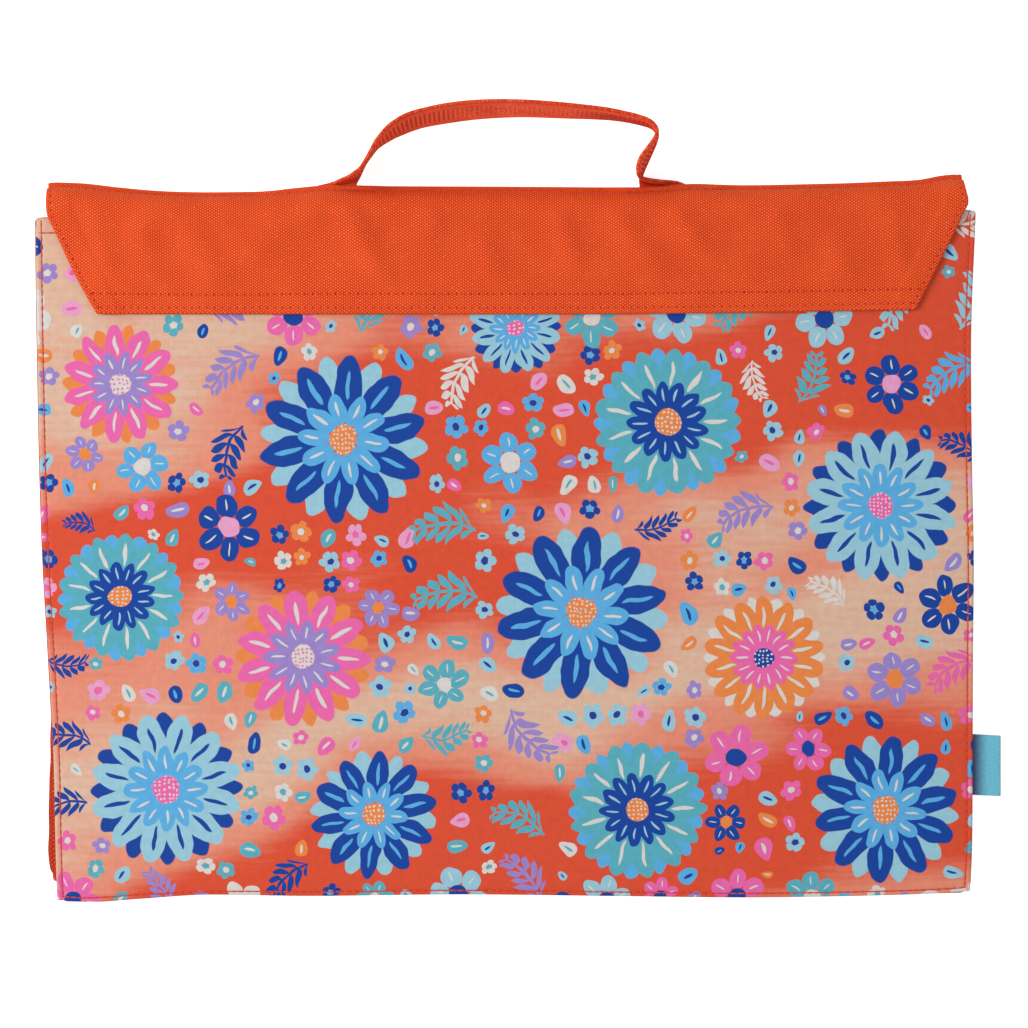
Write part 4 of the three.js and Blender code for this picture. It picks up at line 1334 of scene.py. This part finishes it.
def flap_mirrored(u, v):
    """The flap's surface with its columns counted from the right, so that its normals point up."""
    return flap_surface(1 - u, v)


side_v = np.linspace(SIDE_ROW_TOP, 1 - SIDE_ROW / FLAP_LENGTH, ROW_POINTS)
side_back = roll_back(side_v * FLAP_LENGTH)
side_inset = SIDE_ROW / side_slant(side_back) - FLAP_CLOTH / 2
side_u = side_inset / (flap_right(side_back) - flap_left(side_back))
flap_runs = [lifted_row(flap_mirrored, side_u, side_v), lifted_row(flap_mirrored, 1 - side_u, side_v)]
for row in [*EDGE_ROWS, FLAP_LENGTH - LIP]:
    row_u = mix(EDGE_ROW_END, 1 - EDGE_ROW_END, run)
    row_v = (FLAP_LENGTH - row - FLAP_CLOTH / 2) / (FLAP_LENGTH - FLAP_CLOTH)
    flap_runs.append(lifted_row(flap_mirrored, row_u, np.full_like(run, row_v)))
flap_thread = thread_finish("orange thread", paint(200, 58, 27), paint(232, 84, 40))
flap_stitches = stitch_rows("flap_stitches", flap_runs, flap_thread, FLAP_THREAD, FLAP_HOLES)

# Handle
# One length of ribbed orange webbing, its two ends flat in the top seam under the flap. It
# twists up onto its edge and stands in a low arch beyond the bag.
HANDLE_WIDTH = 25.0
HANDLE_HALF = 0.66  # half its thickness, midway up its ribs
HANDLE_EDGE = 0.7  # the round of its edges
EDGE_SWELL = 0.05  # more than that beside the ribs
HANDLE_STEP = 0.42  # between its points along it
HANDLE_COLUMNS = 41
PATH_POINTS = 4000
RIM = 2.4  # the reach of its upper rim, darkened by painted shade and dark specks
IN_SEAM = 2.25  # its height in the seam
RIB = 1.9  # from one rib to the next
RIB_RISE = 0.06
RIBS_REACH = 7.0  # the ribs fill the webbing's middle, this far to each side
RIBS_FADE = 0.4
TWILL_LEAN = 0.7
TWILL_WARP = 0.8
TWILL_WEFT = 0.6
RUBBED_FROM = 62.0  # along the webbing, where hands have rubbed its ribs down
RUBBED_TO = 152.0
RUB_FADE = 22.0
PAINTED_SHADE_FROM = 112.0  # along the webbing, from here on painted shade darkens its lower half, which lies in shadow
PAINTED_SHADE_TO = 20.5  # across the webbing, from its lower edge
PAINTED_SHADE_FADE = 8.0
BEND_FROM = 146.0  # along the webbing, the bend where that painted shade is weaker
BEND_TO = 175.0
BEND_FADE = 7.0
# lower edge: across, up, height; then the upper edge: across, up, height
HANDLE_PATH = np.array([
    (-59.9, 136.4, IN_SEAM, -84.9, 136.4, IN_SEAM),
    (-59.9, 138.6, IN_SEAM, -84.6, 138.4, IN_SEAM),
    (-59.8, 140, 2.2, -78.5, 139.8, IN_SEAM),
    (-59.7, 141.4, 1.9, -69.6, 141.9, 2.35),
    (-59.4, 142.6, 1.4, -65.4, 143.2, 7),
    (-58.9, 143.6, 1.1, -62.2, 143.9, 13),
    (-58.2, 145, 0.9, -59.4, 144.9, 19.8),
    (-57.3, 147.1, 0.9, -56.8, 146.4, 24.2),
    (-55.7, 150.3, 0.9, -54.9, 149, 25.8),
    (-53.4, 153.5, 0.9, -52.6, 153.2, 25.9),
    (-50.5, 156.8, 0.9, -50.3, 157.4, 25.9),
    (-45.1, 160.1, 0.9, -46.4, 162.2, 25.8),
    (-41.5, 161.7, 0.9, -42.8, 165, 25.7),
    (-37.5, 163.3, 0.9, -38.2, 167.5, 25.6),
    (-31.9, 165, 0.9, -32, 169.3, 25.5),
    (-22.6, 166.6, 0.9, -22.3, 171.3, 25.5),
    (-10.3, 168.2, 0.9, -9.8, 172.5, 25.5),
    (5.7, 169, 0.9, 6, 172.5, 25.6),
    (21.7, 168.6, 0.9, 21.8, 171.4, 25.7),
    (37.6, 168.1, 0.9, 37.6, 169.6, 25.8),
    (45.6, 167.4, 0.9, 45.6, 168.1, 25.9),
    (53.4, 165.9, 0.9, 53.4, 166.1, 25.9),
    (58, 164.4, 0.9, 57.4, 164.1, 25.9),
    (60.3, 162, 0.9, 59.3, 161.2, 25.9),
    (59.9, 158.9, 0.9, 58.6, 158.3, 25.9),
    (58.5, 155.3, 0.9, 55.6, 154.1, 25.7),
    (57, 151.9, 0.9, 52.9, 150.4, 25.5),
    (55.4, 148.4, 0.9, 51.8, 147.2, 25.6),
    (54.3, 145.6, 0.9, 51.8, 144.9, 25.8),
    (53.9, 143.9, 1.1, 52.4, 143.6, 21),
    (53.7, 142.8, 1.5, 55.6, 142.9, 13.5),
    (53.6, 141.9, 1.8, 62.4, 142.5, 7.6),
    (53.5, 141, 2.1, 68.6, 142.4, 2.4),
    (53.5, 139.9, IN_SEAM, 73.5, 140.5, 2.3),
    (53.5, 138.4, IN_SEAM, 78.3, 138.6, IN_SEAM),
    (53.5, 136.6, IN_SEAM, 78.5, 136.6, IN_SEAM),
])
handle_lines = row_lines(HANDLE_PATH)


def handle_edges(at):
    """The webbing's lower edge and its step to the upper edge, at a place along its path."""
    lines = np.stack([line(at) for line in handle_lines], axis=-1)
    return lines[..., :3], lines[..., 3:] - lines[..., :3]


path_at = np.linspace(0, len(HANDLE_PATH) - 1, PATH_POINTS)
path_foot, path_over = handle_edges(path_at)
path_middle = path_foot + path_over / 2
path_run = run_along(path_middle)
handle_run = np.linspace(0, path_run[-1], int(path_run[-1] / HANDLE_STEP))
handle_foot, handle_over = handle_edges(np.interp(handle_run, path_run, path_at))
edge_share = HANDLE_EDGE / HANDLE_WIDTH
handle_share = mix(edge_share, 1 - edge_share, np.linspace(0, 1, HANDLE_COLUMNS))[:, None]
handle_middle = handle_foot[None] + handle_over[None] * handle_share[..., None]
handle_aside = np.abs(handle_share - 0.5) * HANDLE_WIDTH
rib_band = 1 - ease(handle_aside, RIBS_REACH - RIBS_FADE, RIBS_REACH + RIBS_FADE)
handle_rib = np.sin(2 * np.pi * handle_run / RIB)[None] * rib_band
handle_half = HANDLE_HALF + RIB_RISE * handle_rib + EDGE_SWELL * (1 - rib_band)
handle_places = np.stack(np.broadcast_arrays(handle_run[None], handle_share * HANDLE_WIDTH), axis=-1)
handle = cloth_wall("handle_webbing", handle_middle, handle_half, handle_places)


def webbing_finish():
    """Ribbed polyester webbing: a ladder of narrow ribs in its middle, fine twill at both edges,
    with painted shade in the grooves and a painted highlight on the ribs' backs. The ribs are
    rubbed to a fine grain where it is held; beyond that, painted shade darkens its lower half but
    for the bend, and the rim that stands uppermost is darkened by painted shade and dark specks."""
    material, tree, shader = new_material("orange webbing")
    place = cloth_places(tree)
    along, across, _ = parts_of(tree, place)
    middle = calc(tree, "ABSOLUTE", calc(tree, "SUBTRACT", across, HANDLE_WIDTH / 2))
    in_ribs = soft_step(tree, middle, RIBS_REACH + RIBS_FADE, RIBS_REACH - RIBS_FADE)
    rib = calc(tree, "SINE", times(tree, along, 2 * np.pi / RIB))
    rib = calc(tree, "POWER", scaled(tree, rib, 0.5, 0.5), 2.2)
    slanted = spun(tree, place, TWILL_LEAN)
    twill = weave_of(tree, slanted, TWILL_WARP, TWILL_WEFT)["Height"]
    rub_start = soft_step(tree, along, RUBBED_FROM, RUBBED_FROM + RUB_FADE)
    rub_end = soft_step(tree, along, RUBBED_TO, RUBBED_TO - RUB_FADE)
    rubbed = times(tree, times(tree, rub_start, rub_end), 0.75)
    tufts = noise(tree, steer(tree, "MULTIPLY", place, (1.5, 0.45, 1.0)), 1.0, 1.0)
    nap = times(tree, soft_step(tree, tufts, 0.36, 0.68), 1.15)
    worn_rib = blend(tree, rubbed, rib, nap, "FLOAT")
    ribbed = scaled(tree, twill, 0.35, worn_rib)
    edged = scaled(tree, twill, 0.6, 0.4)
    height = blend(tree, in_ribs, edged, ribbed, "FLOAT")
    fade = noise(tree, place, 0.09, 2.0)
    grain = noise(tree, steer(tree, "MULTIPLY", place, (1.6, 0.7, 1.0)), 1.0, 2.0)
    tone = scaled(tree, grain, 0.6, times(tree, fade, 0.4))
    base = blend(tree, soft_step(tree, tone, 0.35, 0.65), paint(228, 71, 37), paint(254, 107, 66))
    # Painted shade darkens the grooves between the ribs, and a painted highlight lightens the ribs' backs.
    grooved = blend(tree, soft_step(tree, height, 0.0, 0.6), paint(206, 58, 28), base)
    backs = blend(tree, soft_step(tree, height, 0.7, 1.3), grooved, paint(252, 128, 98))
    # Painted shade: beyond 112 mm along, the lower half of the webbing is darkened towards a deep red, less
    # so at the bend.
    shade_from_along = soft_step(tree, along, PAINTED_SHADE_FROM, PAINTED_SHADE_FROM + RUB_FADE)
    shade_below_across = soft_step(tree, across, PAINTED_SHADE_TO, PAINTED_SHADE_TO - PAINTED_SHADE_FADE)
    bend_start = soft_step(tree, along, BEND_FROM + BEND_FADE, BEND_FROM)
    bend_end = soft_step(tree, along, BEND_TO - BEND_FADE, BEND_TO)
    shade_off_bend = scaled(tree, calc(tree, "ADD", bend_start, bend_end), 0.42, 0.2)
    # deep is the strength of that painted shade.
    deep = times(tree, times(tree, shade_from_along, shade_below_across), shade_off_bend)
    shaded = blend(tree, deep, backs, paint(168, 22, 6))
    # Painted shade darkens the rim that faces up, broken by dark specks.
    rim = soft_step(tree, across, HANDLE_WIDTH - RIM, HANDLE_WIDTH - RIM / 4)
    specks = scaled(tree, soft_step(tree, tufts, 0.56, 0.42), 0.42, 0.28)
    rim_shaded = blend(tree, times(tree, rim, specks), shaded, paint(160, 34, 6))
    feed(tree, shader.inputs["Base Color"], rim_shaded)
    feed(tree, shader.inputs["Roughness"], scaled(tree, fade, 0.2, 0.6))
    shader.inputs["Specular IOR Level"].default_value = 0.03
    bump(tree, shader, height, 0.12)
    return material


handle.data.materials.append(webbing_finish())
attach(handle, "root")
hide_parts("handle")

# Side label
# A short satin ribbon folded double, both its ends sewn into the right seam under the front
# panel's edge. Plain, shading from dark blue at the seam to teal at its fold.
LABEL_Y = -88.3  # its middle
LABEL_WIDTH = 24.0
LABEL_REACH = 11.6  # out from the seam
LABEL_TILT = 0.055  # its fall for each millimetre out
LABEL_HALF = 0.25  # half its thickness
LABEL_FOLD = 0.55  # the radius of its fold
LABEL_SAG = 1.2  # how much lower the fold lies
LABEL_RIPPLE = 0.12
SEAM_MARGIN = 2.0  # the depth of the seam that holds it
LABEL_STRAIGHT = SEAM_MARGIN - GAP + LABEL_REACH - LABEL_FOLD - LABEL_HALF  # from seam to fold
LABEL_ROUND = np.pi * LABEL_FOLD
LABEL_ROWS = 33
DARK_TO = 11.4  # from the fold, where the dark blue starts and the teal is full
TEAL_FROM = 4.6


def label_surface(u, v):
    """The label's middle points: out from the seam, round a half circle at the fold and back
    beneath, sagging a little towards its fold."""
    root = right_front(LABEL_Y) - SEAM_MARGIN + GAP
    top = FRONT_HEIGHT - CLOTH / 2 - GAP - LABEL_HALF
    whole = 2 * LABEL_STRAIGHT + LABEL_ROUND
    along = v * whole
    turn = np.clip((along - LABEL_STRAIGHT) / LABEL_ROUND, 0, 1) * np.pi
    level = np.clip(np.minimum(along, whole - along), 0, LABEL_STRAIGHT)
    out = level + LABEL_FOLD * np.sin(turn)
    y = LABEL_Y + mix(LABEL_HALF, LABEL_WIDTH - LABEL_HALF, u) - LABEL_WIDTH / 2 - LABEL_TILT * out
    reached = out / LABEL_STRAIGHT
    ripple = LABEL_RIPPLE * np.sin(y / 2.7) * reached
    z = top - LABEL_FOLD * (1 - np.cos(turn)) - LABEL_SAG * reached**2 + ripple
    return np.stack([root + out, y, z], axis=-1), along


label_v, label_u = np.meshgrid(
    np.concatenate([np.linspace(0, 0.45, 20), np.linspace(0.46, 0.54, 17), np.linspace(0.55, 1, 20)]),
    np.linspace(0, 1, LABEL_ROWS),
)
label_middle, label_along = label_surface(label_u, label_v)
label_places = np.stack([label_along, label_u * LABEL_WIDTH], axis=-1)
side_label = cloth_wall("side_label_ribbon", label_middle, LABEL_HALF, label_places)


def satin_finish():
    """Satin ribbon: fine lengthwise floats with a soft gloss, dark blue at the seam and teal at
    the fold, on both faces alike."""
    material, tree, shader = new_material("teal satin")
    place = cloth_places(tree)
    along, across, _ = parts_of(tree, place)
    fold_at = LABEL_STRAIGHT + LABEL_ROUND / 2
    from_fold = calc(tree, "ABSOLUTE", calc(tree, "SUBTRACT", along, fold_at))
    fade = soft_step(tree, from_fold, DARK_TO, TEAL_FROM)
    floats = noise(tree, steer(tree, "MULTIPLY", place, (0.6, 4.0, 1.0)), 1.0, 2.0)
    shaded = blend(tree, fade, paint(38, 46, 92), paint(88, 168, 192))
    lit = blend(tree, fade, paint(60, 76, 122), paint(112, 190, 207))
    satin = blend(tree, soft_step(tree, floats, 0.35, 0.75), shaded, lit)
    feed(tree, shader.inputs["Base Color"], satin)
    feed(tree, shader.inputs["Roughness"], scaled(tree, floats, 0.2, 0.3))
    bump(tree, shader, floats, 0.04)
    return material


side_label.data.materials.append(satin_finish())
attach(side_label, "root")
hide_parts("side_label")
